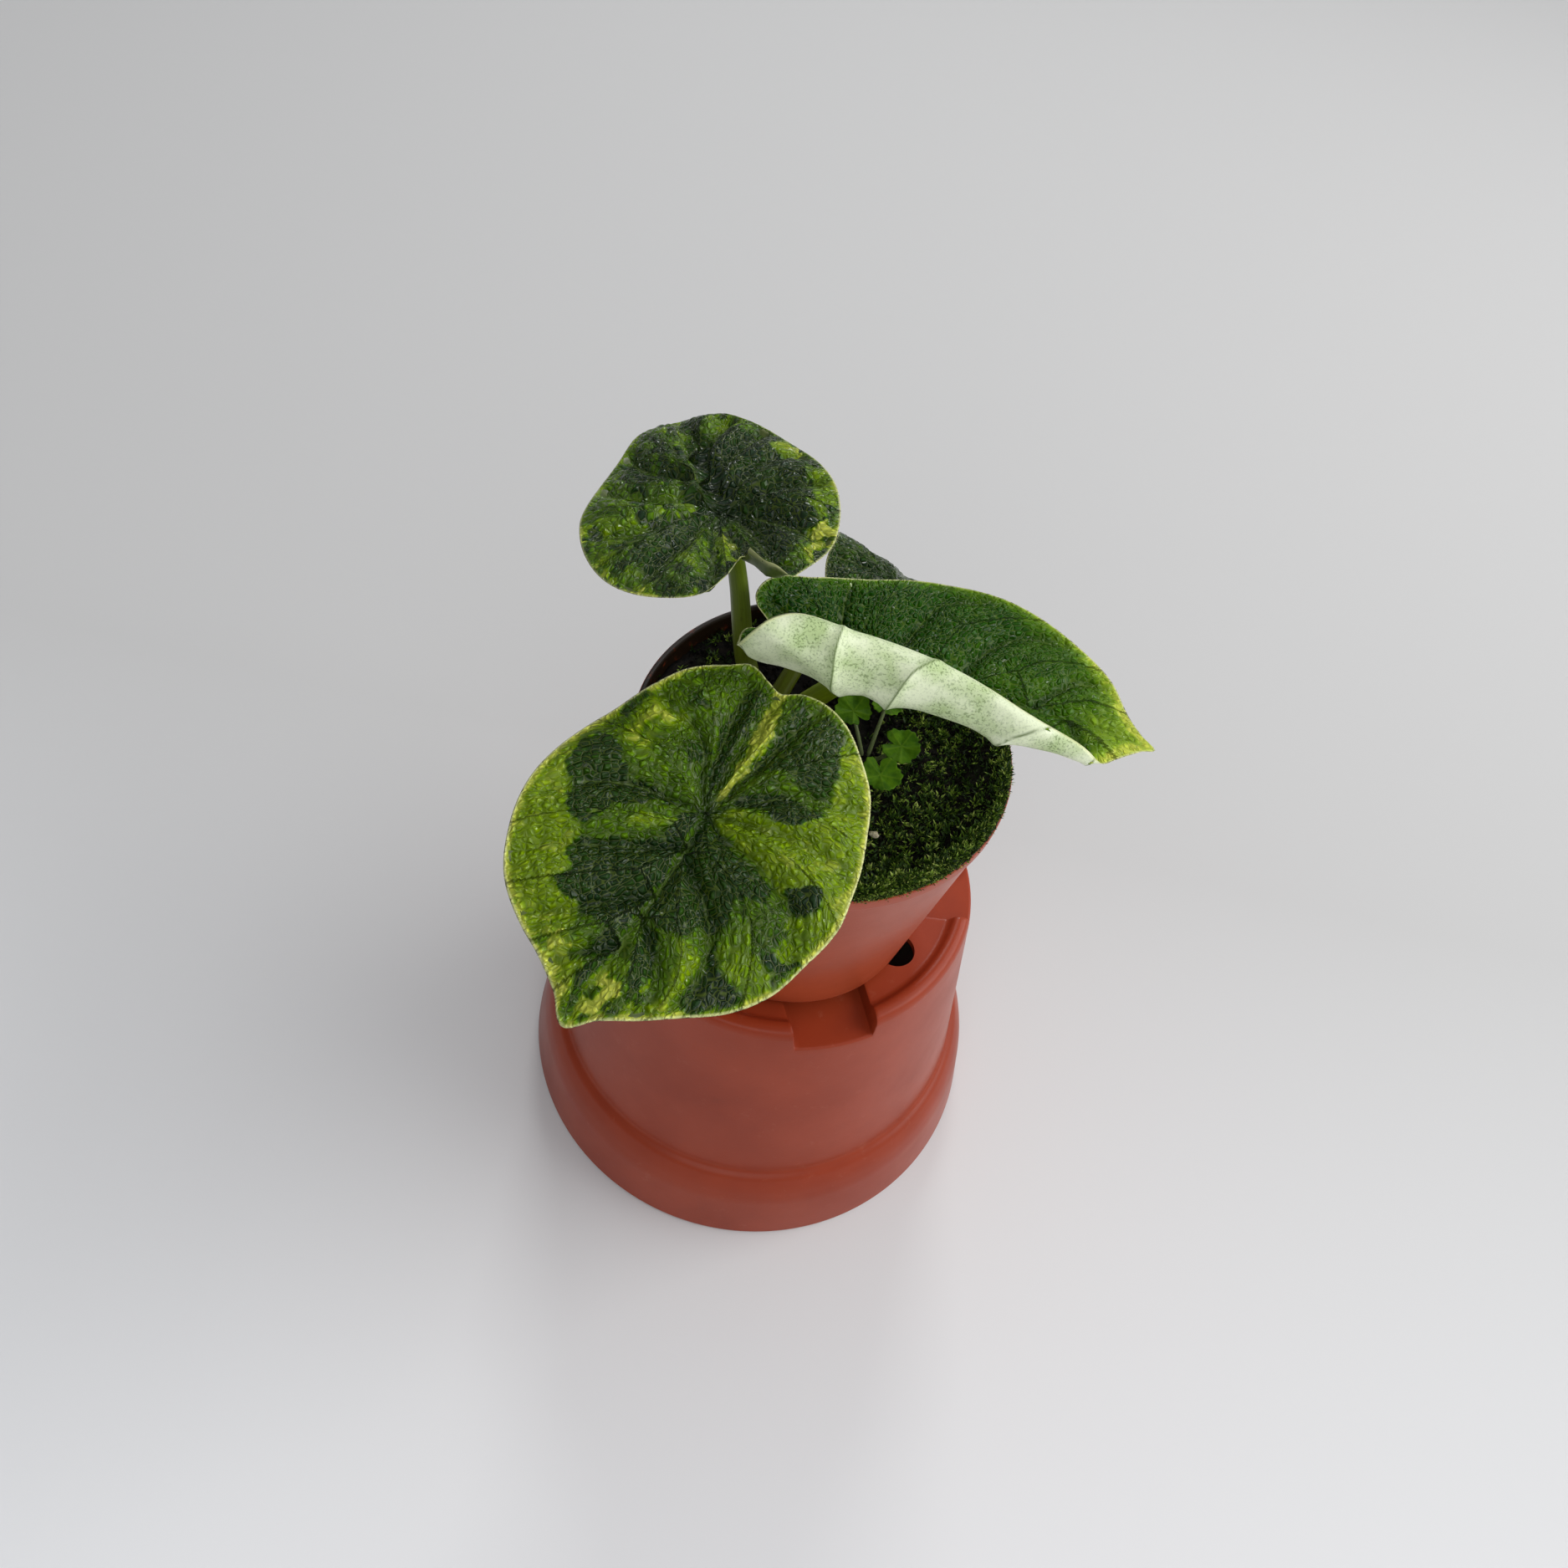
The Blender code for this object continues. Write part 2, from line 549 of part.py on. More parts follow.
# ---------------------------------------------------------------- seedling weed beside the crown
SEEDLING_BASE = Vector((11.0, -7.0, 0.0))
SEEDLING_LEAVES = [("a", (17.0, -8.0, 144.5), (1.0, -0.2, 0.1), (0.1, -0.3, 1.0), 3.7),
                   ("b", (14.0, -15.6, 143.8), (0.3, -1.0, -0.1), (0.1, -0.1, 1.0), 3.9),
                   ("c", (6.4, -1.8, 144.6), (-0.7, 0.7, 0.1), (-0.1, -0.2, 1.0), 3.6),
                   ("d", (12.6, 0.6, 146.4), (0.2, 1.0, 0.2), (0.0, -0.3, 1.0), 3.2)]


def lobed(radius):
    """Outline of a round, five-lobed seedling leaf with a notch at its stalk."""
    return [(deg, radius * (1.0 + 0.1 * math.cos(math.radians(deg * 5.0))) * (0.62 if deg == 180 else 1.0))
            for deg in range(0, 360, 18)]


for tag, hub, toward, facing, radius in SEEDLING_LEAVES:
    blade("seedling_leaf_" + tag, hub, toward, facing, lobed(radius), lambda s, q, t, phi: (s, q, 0.5 * t * t),
          WEED, rings=2, spokes=20, thickness=0.5)
    low, end = under_hub(hub, toward, facing, 0.5 + GAP + 0.1)
    outward = (Vector((hub[0], hub[1], 0.0)) - SEEDLING_BASE).normalized()
    foot = SEEDLING_BASE + outward * 1.3
    foot.z = soil_height(foot.x, foot.y) + 0.5
    low = end + (low - end) * 0.4
    stalk("seedling_stalk_" + tag, [foot, (foot + low) / 2, low, end], 0.42, 0.36, WEED, count=7)


# ---------------------------------------------------------------- set the whole on its footprint's centre
def bounds():
    bpy.context.view_layer.update()
    graph = bpy.context.evaluated_depsgraph_get()
    low = Vector((1e9, 1e9, 1e9))
    high = -low
    for obj in PLANT.objects:
        if obj.type not in {'MESH', 'CURVE'}:
            continue
        shown = obj.evaluated_get(graph)
        shape = shown.to_mesh()
        for v in shape.vertices:
            p = shown.matrix_world @ v.co
            low = Vector(map(min, low, p))
            high = Vector(map(max, high, p))
        shown.to_mesh_clear()
    return low, high


low, high = bounds()
ROOT.location = Vector((-(low.x + high.x) / 2, -(low.y + high.y) / 2, -low.z))
bpy.context.view_layer.update()
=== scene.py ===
"""Looks for the potted alocasia: leaves, stalks, pots, mix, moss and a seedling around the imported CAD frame.

Leaf shapes are worked out in millimetres in each leaf's own frame (X to the tip, Z out of the upper face),
then placed in the row frame, in metres.
"""
import math

import bmesh
import bpy
import numpy as np
from mathutils import Matrix, Vector


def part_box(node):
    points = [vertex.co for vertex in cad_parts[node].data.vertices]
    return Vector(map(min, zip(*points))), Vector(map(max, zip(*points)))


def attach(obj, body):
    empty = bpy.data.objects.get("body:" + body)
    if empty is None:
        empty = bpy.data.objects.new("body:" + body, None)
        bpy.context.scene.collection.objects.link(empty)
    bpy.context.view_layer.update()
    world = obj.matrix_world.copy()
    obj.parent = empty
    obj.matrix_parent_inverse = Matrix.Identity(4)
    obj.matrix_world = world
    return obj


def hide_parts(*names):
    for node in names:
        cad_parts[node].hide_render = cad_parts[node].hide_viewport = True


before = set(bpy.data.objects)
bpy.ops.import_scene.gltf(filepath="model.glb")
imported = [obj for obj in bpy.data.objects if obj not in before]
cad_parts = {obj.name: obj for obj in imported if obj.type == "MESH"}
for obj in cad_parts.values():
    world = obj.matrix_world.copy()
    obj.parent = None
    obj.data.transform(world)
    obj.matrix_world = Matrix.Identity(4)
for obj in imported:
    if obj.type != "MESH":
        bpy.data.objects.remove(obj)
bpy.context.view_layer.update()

MM = 0.001
stand_low, stand_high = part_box("stand_pot")
# the stand pot's axis
AXIS = Vector(((stand_low.x + stand_high.x) / 2, (stand_low.y + stand_high.y) / 2, 0.0))


# ================================================================ numbers and noise
def smoothstep(a, b, x):
    t = np.clip((x - a) / (b - a), 0.0, 1.0)
    return t * t * (3.0 - 2.0 * t)


def hash01(ix, iy, seed):
    """A repeatable random number in 0..1 for each integer cell."""
    h = (ix.astype(np.int64) * 374761393 + iy.astype(np.int64) * 668265263 + seed * 974711) & 0xFFFFFFFF
    h = ((h ^ (h >> 13)) * 1274126177) & 0xFFFFFFFF
    h = ((h ^ (h >> 16)) * 2246822519) & 0xFFFFFFFF
    return ((h ^ (h >> 15)) & 0xFFFFFF) / float(0xFFFFFF)


def value_noise(x, y, seed):
    ix, iy = np.floor(x), np.floor(y)
    fx, fy = x - ix, y - iy
    fx, fy = fx * fx * (3 - 2 * fx), fy * fy * (3 - 2 * fy)
    a, b = hash01(ix, iy, seed), hash01(ix + 1, iy, seed)
    c, d = hash01(ix, iy + 1, seed), hash01(ix + 1, iy + 1, seed)
    return (a + (b - a) * fx) * (1 - fy) + (c + (d - c) * fx) * fy


def fbm(x, y, seed, octaves=3):
    total, weight, size = 0.0, 0.0, 1.0
    for i in range(octaves):
        total = total + size * value_noise(x * 2 ** i, y * 2 ** i, seed + i)
        weight += size
        size *= 0.5
    return total / weight


def worley(x, y, seed):
    """Distances to the nearest two scattered points, and a random number of the nearest one's cell."""
    ix, iy = np.floor(x), np.floor(y)
    f1 = np.full(x.shape, 9.0)
    f2 = np.full(x.shape, 9.0)
    cell = np.zeros(x.shape)
    for dx in (-1, 0, 1):
        for dy in (-1, 0, 1):
            cx, cy = ix + dx, iy + dy
            px = cx + 0.15 + 0.7 * hash01(cx, cy, seed)
            py = cy + 0.15 + 0.7 * hash01(cx, cy, seed + 7)
            d = np.hypot(px - x, py - y)
            painted_light_front = d < f1
            f2 = np.where(painted_light_front, f1, np.minimum(f2, d))
            cell = np.where(painted_light_front, hash01(cx, cy, seed + 13), cell)
            f1 = np.where(painted_light_front, d, f1)
    return f1, f2, cell


def catmull(keys, per_span):
    """Points along a Catmull-Rom curve through the keys, any dimension."""
    k = np.array(keys, float)
    k = np.vstack([2 * k[0] - k[1], k, 2 * k[-1] - k[-2]])
    out = []
    for i in range(1, len(k) - 2):
        t = np.linspace(0, 1, per_span, endpoint=False)[:, None]
        p0, p1, p2, p3 = k[i - 1:i + 3]
        out.append(0.5 * (2 * p1 + (p2 - p0) * t + (2 * p0 - 5 * p1 + 4 * p2 - p3) * t ** 2
                          + (3 * p1 - p0 - 3 * p2 + p3) * t ** 3))
    return np.vstack(out + [k[-2:-1]])


def vein_fields(s, q, veins):
    """Per point: the nearest vein's distance, place along it, side and number, and the midrib's distance."""
    best = np.full(s.shape, 1e9)
    along, side, number = np.zeros(s.shape), np.zeros(s.shape), np.zeros(s.shape)
    midrib = None
    for n, keys in enumerate(veins):
        line = catmull(keys, 4)
        reach = 0.0
        for a, b in zip(line, line[1:]):
            d = b - a
            length = max(1e-6, math.hypot(*d))
            ux, uy = d / length
            w = np.clip((s - a[0]) * ux + (q - a[1]) * uy, 0.0, length)
            ex, ey = s - a[0] - ux * w, q - a[1] - uy * w
            dist = np.hypot(ex, ey)
            near = dist < best
            best = np.where(near, dist, best)
            along = np.where(near, reach + w, along)
            side = np.where(near, np.sign(ux * ey - uy * ex), side)
            number = np.where(near, n, number)
            reach += length
        if n == 0:
            midrib = best.copy()
    return best, along, side, number, midrib


def polygon_depth(s, q, corners):
    """Signed distance in mm: positive inside the polygon."""
    pts = np.array(corners, float)
    inside = np.zeros(s.shape, bool)
    best = np.full(s.shape, 1e9)
    for a, b in zip(pts, np.roll(pts, -1, axis=0)):
        d = b - a
        w = np.clip(((s - a[0]) * d[0] + (q - a[1]) * d[1]) / max(1e-9, d @ d), 0.0, 1.0)
        best = np.minimum(best, np.hypot(s - a[0] - d[0] * w, q - a[1] - d[1] * w))
        if a[1] != b[1]:
            crosses = ((a[1] > q) != (b[1] > q)) & (s < (b[0] - a[0]) * (q - a[1]) / (b[1] - a[1]) + a[0])
            inside ^= crosses
    return np.where(inside, best, -best)


# ================================================================ meshes and materials
def new_object(name, mesh, mats):
    obj = bpy.data.objects.new(name, mesh)
    bpy.context.scene.collection.objects.link(obj)
    for mat in mats:
        mesh.materials.append(mat)
    return obj


def take_place(obj, slot, *nodes):
    """obj is part of the plant: it rides the only body and stands for these CAD nodes, which it hides; slot is
    not used.
    """
    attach(obj, "root")
    if nodes:
        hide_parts(*nodes)
    return obj


def mesh_from(bm, name):
    """The bmesh as a mesh of that name."""
    mesh = bpy.data.meshes.new(name)
    bm.to_mesh(mesh)
    bm.free()
    return mesh


def mesh_mm(name, points, faces, smooth=True):
    """A mesh from points in millimetres about the stand pot's axis."""
    mesh = bpy.data.meshes.new(name)
    mesh.from_pydata((np.asarray(points) * MM + np.array(AXIS)).tolist(), [], faces)
    if smooth:
        mesh.shade_smooth()
    return mesh


def put_attribute(mesh, name, values):
    mesh.attributes.new(name, 'FLOAT', 'POINT').data.foreach_set("value", np.asarray(values, np.float32))


class Nodes:
    """Short hands for building one node material."""

    def __init__(self, name):
        self.mat = bpy.data.materials.new(name)
        self.mat.use_nodes = True
        self.tree = self.mat.node_tree
        self.shader = self.tree.nodes["Principled BSDF"]

    def add(self, kind, **settings):
        node = self.tree.nodes.new(kind)
        for key, value in settings.items():
            setattr(node, key, value)
        return node

    def link(self, source, target):
        self.tree.links.new(source, target)

    def put(self, value, socket):
        """Links another node's socket, or sets anything else as the socket's own value."""
        if isinstance(value, bpy.types.NodeSocket):
            self.link(value, socket)
        else:
            socket.default_value = value

    def feed(self, node, **inputs):
        """Sets sockets by name, with underscores for spaces."""
        for key, value in inputs.items():
            self.put(value, node.inputs[key.replace("_", " ")])

    def finish(self, **inputs):
        """Sets the shader's sockets and gives back the material."""
        self.feed(self.shader, **inputs)
        return self.mat

    def place(self):
        return self.add("ShaderNodeTexCoord").outputs["Object"]

    def attribute(self, name):
        return self.add("ShaderNodeAttribute", attribute_name=name).outputs["Fac"]

    def noise(self, vector, scale, detail, roughness=0.55):
        node = self.add("ShaderNodeTexNoise")
        self.feed(node, Vector=vector, Scale=scale, Detail=detail, Roughness=roughness)
        return node.outputs["Fac"]

    def math(self, operation, a, b, clamp=False):
        node = self.add("ShaderNodeMath", operation=operation, use_clamp=clamp)
        for socket, value in zip(node.inputs, (a, b)):
            self.put(value, socket)
        return node.outputs[0]

    def remap(self, value, low, high, to_low=0.0, to_high=1.0):
        node = self.add("ShaderNodeMapRange")
        self.feed(node, Value=value, From_Min=low, From_Max=high, To_Min=to_low, To_Max=to_high)
        return node.outputs[0]

    def ramp(self, factor, stops):
        node = self.add("ShaderNodeValToRGB")
        ramp = node.color_ramp
        while len(ramp.elements) > 1:
            ramp.elements.remove(ramp.elements[-1])
        ramp.elements[0].position = stops[0][0]
        ramp.elements[0].color = (*stops[0][1], 1.0)
        for position, color in stops[1:]:
            ramp.elements.new(position).color = (*color, 1.0)
        self.link(factor, node.inputs["Fac"])
        return node.outputs["Color"]

    def mix(self, factor, a, b, blend='MIX'):
        node = self.add("ShaderNodeMix", data_type='RGBA', blend_type=blend)
        self.put(factor, node.inputs[0])
        for index, color in ((6, a), (7, b)):
            self.put((*color, 1.0) if isinstance(color, tuple) else color, node.inputs[index])
        return node.outputs[2]

    def bump(self, height, distance, strength, before=None):
        node = self.add("ShaderNodeBump")
        node.inputs["Strength"].default_value = strength
        node.inputs["Distance"].default_value = distance
        self.link(height, node.inputs["Height"])
        if before is not None:
            self.link(before, node.inputs["Normal"])
        return node.outputs["Normal"]


def srgb(r, g, b):
    """A colour given in 0..255 display values, as the linear values the shaders use."""
    return tuple(c / 12.92 if c <= 0.04045 else ((c + 0.055) / 1.055) ** 2.4
                 for c in (r / 255, g / 255, b / 255))


# ---------------------------------------------------------------- leaf materials
DARK, DEEP, GREEN = srgb(36, 61, 34), srgb(54, 92, 14), srgb(102, 144, 12)
LIME, YELLOW, MARGIN = srgb(144, 178, 6), srgb(234, 242, 92), srgb(238, 240, 170)


def upper_side(name, stops, roughness=0.16, gloss=0.25, crease=1.0):
    """Glossy quilted upper side with painted shade on the cell flanks and in the vein grooves; level, flow of
    the cells, grooves and margin are the mesh's attributes.
    """
    n = Nodes(name)
    where = n.place()
    flow = n.add("ShaderNodeAttribute", attribute_name="flow").outputs["Vector"]
    cells = n.add("ShaderNodeTexVoronoi", feature='DISTANCE_TO_EDGE')
    n.feed(cells, Vector=flow, Scale=1.0, Randomness=0.85)
    cell_ids = n.add("ShaderNodeTexVoronoi", feature='F1')
    n.feed(cell_ids, Vector=flow, Scale=1.0, Randomness=0.85)
    split = n.add("ShaderNodeSeparateColor")
    n.link(cell_ids.outputs["Color"], split.inputs["Color"])
    gap = cells.outputs["Distance"]
    line = n.remap(gap, 0.0, 0.07, 0.2, 0.0)
    # painted shade: each cell darkens towards its crease, by up to crease, less in the paler parts
    crease_shade = n.math('MULTIPLY', n.remap(gap, 0.02, 0.26, crease, 0.0),
                   n.remap(n.attribute("level"), 0.3, 0.8, 0.9, 0.55))
    dome = n.remap(gap, 0.0, 0.46)
    dome.node.interpolation_type = 'SMOOTHSTEP'
    fine = n.noise(where, 2600.0, 2.0)
    level = n.math('ADD', n.attribute("level"), n.remap(split.outputs["Red"], 0.0, 1.0, -0.05, 0.05))
    color = n.ramp(level, stops)
    color = n.mix(n.remap(split.outputs["Green"], 0.0, 1.0, 0.0, 0.3), color, srgb(140, 150, 120), 'MULTIPLY')
    color = n.mix(crease_shade, color, srgb(52, 66, 40), 'MULTIPLY')
    color = n.mix(line, color, srgb(150, 180, 60))
    # painted shade in the vein grooves and the sunken hub
    color = n.mix(n.math('MULTIPLY', n.attribute("groove"), 0.8, True), color, srgb(14, 34, 8))
    color = n.mix(n.math('MULTIPLY', n.attribute("vein"), 0.4, True), color, srgb(124, 150, 64))
    color = n.mix(n.attribute("margin"), color, MARGIN)
    return n.finish(Base_Color=color, Roughness=n.remap(fine, 0.3, 0.7, roughness - 0.05, roughness + 0.08),
                    Specular_IOR_Level=gloss, Normal=n.bump(fine, 0.00003, 0.4, n.bump(dome, 0.00046, 1.0)))


def lower_side(name, pale, pore, mottle, vein, pore_amount=0.6):
    """Smooth matt underside with fine dark pores, paler silvery patches and dark thin veins."""
    n = Nodes(name)
    where = n.place()
    grain = n.noise(where, 2400.0, 2.0, 0.6)
    cloud = n.noise(where, 130.0, 4.0)
    color = n.mix(n.remap(cloud, 0.38, 0.62), pale, mottle)
    amount = n.math('MULTIPLY', n.remap(grain, 0.52, 0.62, 0.0, pore_amount),
                    n.remap(cloud, 0.4, 0.62, 0.25, 1.0))
    color = n.mix(amount, color, pore)
    color = n.mix(n.math('MULTIPLY', n.attribute("vein"), 0.95, True), color, vein)
    color = n.mix(n.math('MULTIPLY', n.attribute("margin"), 0.7, True), color, MARGIN)
    return n.finish(Base_Color=color, Roughness=n.remap(cloud, 0.3, 0.7, 0.3, 0.48), Specular_IOR_Level=0.4,
                    Normal=n.bump(grain, 0.00005, 0.5))


VARIEGATED = upper_side("leaf_upper", [(0.0, DARK), (0.28, DEEP), (0.52, GREEN), (0.78, LIME), (1.0, YELLOW)])
FRESH = upper_side("leaf_new_upper", [(0.0, srgb(14, 62, 2)), (0.35, srgb(42, 92, 0)),
                                      (0.6, srgb(84, 130, 4)), (0.85, srgb(160, 196, 44)), (1.0, YELLOW)],
                   0.15, 0.14, 0.6)
OLIVE_UNDER = lower_side("leaf_lower", srgb(78, 92, 30), srgb(46, 58, 20), srgb(62, 78, 24),
                         srgb(96, 110, 50))
PALE_UNDER = lower_side("leaf_new_lower", srgb(240, 250, 212), srgb(96, 124, 62), srgb(190, 212, 150),
                        srgb(78, 104, 26), 0.75)


# ================================================================ leaves
def leaf_axes(hub, toward, facing):
    x_axis = Vector(toward).normalized()
    y_axis = Vector(facing).cross(x_axis).normalized()
    return np.array(hub, float), np.array([x_axis, y_axis, x_axis.cross(y_axis)])


def to_row(local, hub, axes):
    """Leaf coordinates in mm to the row frame in metres."""
    return (hub + local @ axes) * MM + np.array(AXIS)


class Outline:
    """Smooth closed outline through (degrees, radius) pairs around the hub."""

    def __init__(self, pairs):
        deg = np.array([p[0] for p in pairs], float)
        rad = np.array([p[1] for p in pairs], float)
        a = np.concatenate([deg[-2:] - 360, deg, deg[:3] + 360])
        r = np.concatenate([rad[-2:], rad, rad[:3]])
        slope = (r[2:] - r[:-2]) / (a[2:] - a[:-2])
        self.deg = np.linspace(0, 360, 2881)
        k = np.clip(np.searchsorted(a, self.deg, side='right') - 1, 1, len(a) - 3)
        h = a[k + 1] - a[k]
        t = (self.deg - a[k]) / h
        m1, m2 = slope[k - 1] * h, slope[k] * h
        self.rad = ((2 * t ** 3 - 3 * t ** 2 + 1) * r[k] + (t ** 3 - 2 * t ** 2 + t) * m1
                    + (-2 * t ** 3 + 3 * t ** 2) * r[k + 1] + (t ** 3 - t ** 2) * m2)

    def at(self, phi):
        return np.interp(np.degrees(phi) % 360.0, self.deg, self.rad)


def form_and_normal(form, outline, s, q):
    """The unwrinkled surface at (s, q) and its unit normal."""
    def point(s, q):
        phi = np.arctan2(q, s)
        t = np.hypot(s, q) / outline.at(phi)
        return np.stack(form(s, q, t, phi), -1)
    e = 0.15
    normal = np.cross(point(s + e, q) - point(s - e, q), point(s, q + e) - point(s, q - e))
    normal /= np.maximum(1e-9, np.linalg.norm(normal, axis=-1, keepdims=True))
    return point(s, q), normal


def polar_grid(outline, rings, spokes):
    """The hub and then rings of points in an outline; t runs from 0 at the hub to 1 at the margin."""
    phi = np.linspace(0, 2 * math.pi, spokes, endpoint=False)
    t = (np.arange(1, rings + 1) / rings) ** 0.9
    t, phi = np.meshgrid(t, phi, indexing='ij')
    rho = t * outline.at(phi)
    s = np.concatenate([[0.0], (rho * np.cos(phi)).ravel()])
    q = np.concatenate([[0.0], (rho * np.sin(phi)).ravel()])
    return s, q, np.concatenate([[0.0], t.ravel()])


def disc_faces(rings, spokes, start, flip):
    """Faces of a polar grid whose centre vertex is number start."""
    j = np.arange(spokes)
    k = (j + 1) % spokes
    first = start + 1
    tris = np.stack([np.full(spokes, start), first + j, first + k], 1)
    quads = []
    for i in range(rings - 1):
        a, b = first + i * spokes, first + (i + 1) * spokes
        quads.append(np.stack([a + j, b + j, b + k, a + k], 1))
    quads = np.vstack(quads) if quads else np.zeros((0, 4), int)
    if flip:
        tris, quads = tris[:, ::-1], quads[:, ::-1]
    return tris.tolist() + quads.tolist()


PUCKER, CELL = (2.6, 1.6), (1.3, 0.82)                         # swellings and cells, mm along and across
RUN_ON = 14.0                                                  # mm that a vein's flow goes on past its end
HUB_RIM = 20.0                                                 # the hub's distance from the margin, in mm
VEIN_FADE = 40.0                                               # mm over which a vein's colour and rib fade
EDGE_THICK = 0.16                                              # the blade's thickness at the margin, in mm


def quilt(s, q, veins, seed):
    """Fields of the blade: puckers and their random numbers, the flow of the cells and the vein fields."""
    dist, along, _, _, midrib = vein_fields(s, q, veins)
    longer = []
    for keys in veins:                                # on past the margin, so that the flow never turns back
        last, before = np.array(keys[-1]), np.array(keys[-2])
        longer.append(list(keys) + [tuple(last + (last - before) / np.linalg.norm(last - before) * RUN_ON)])
    wide, run, side, number, _ = vein_fields(s, q, longer)
    bend = 0.9 * (fbm(s * 0.35, q * 0.35, seed + 3) - 0.5)
    u, v = run + bend, wide * side + 1.6 * bend
    f1, f2, rand = worley(u / PUCKER[0] + number * 17.3, v / PUCKER[1] + number * 5.1, seed)
    return dict(dist=dist, along=along, midrib=midrib, edge=f2 - f1, rand=rand,
                flow=np.stack([u / CELL[0] + number * 17.3, v / CELL[1] + number * 5.1,
                               np.zeros(s.shape)], -1),
                dome=1.0 - smoothstep(0.0, 0.75, f1))


def paint(s, q, base, patches, fields, seed, jag=0.9, speckle=0.07):
    """Colour level 0 (dark) to 1 (yellow): patches over a base, with edges that follow the little cells."""
    level = base + 0.10 * (fbm(s * 0.22, q * 0.22, seed) - 0.5)
    ws = s + jag * (fields["rand"] - 0.5) + 1.5 * (fbm(s * 0.5, q * 0.5, seed + 5) - 0.5)
    wq = q + jag * (np.modf(fields["rand"] * 7.31)[0] - 0.5) + 1.5 * (fbm(s * 0.5, q * 0.5, seed + 9) - 0.5)
    for value, soft, corners in patches:
        inside = smoothstep(-soft, soft, polygon_depth(ws, wq, corners))
        level = level + (value - level) * inside
    return level + speckle * 2 * (np.modf(fields["rand"] * 3.7)[0] - 0.5)


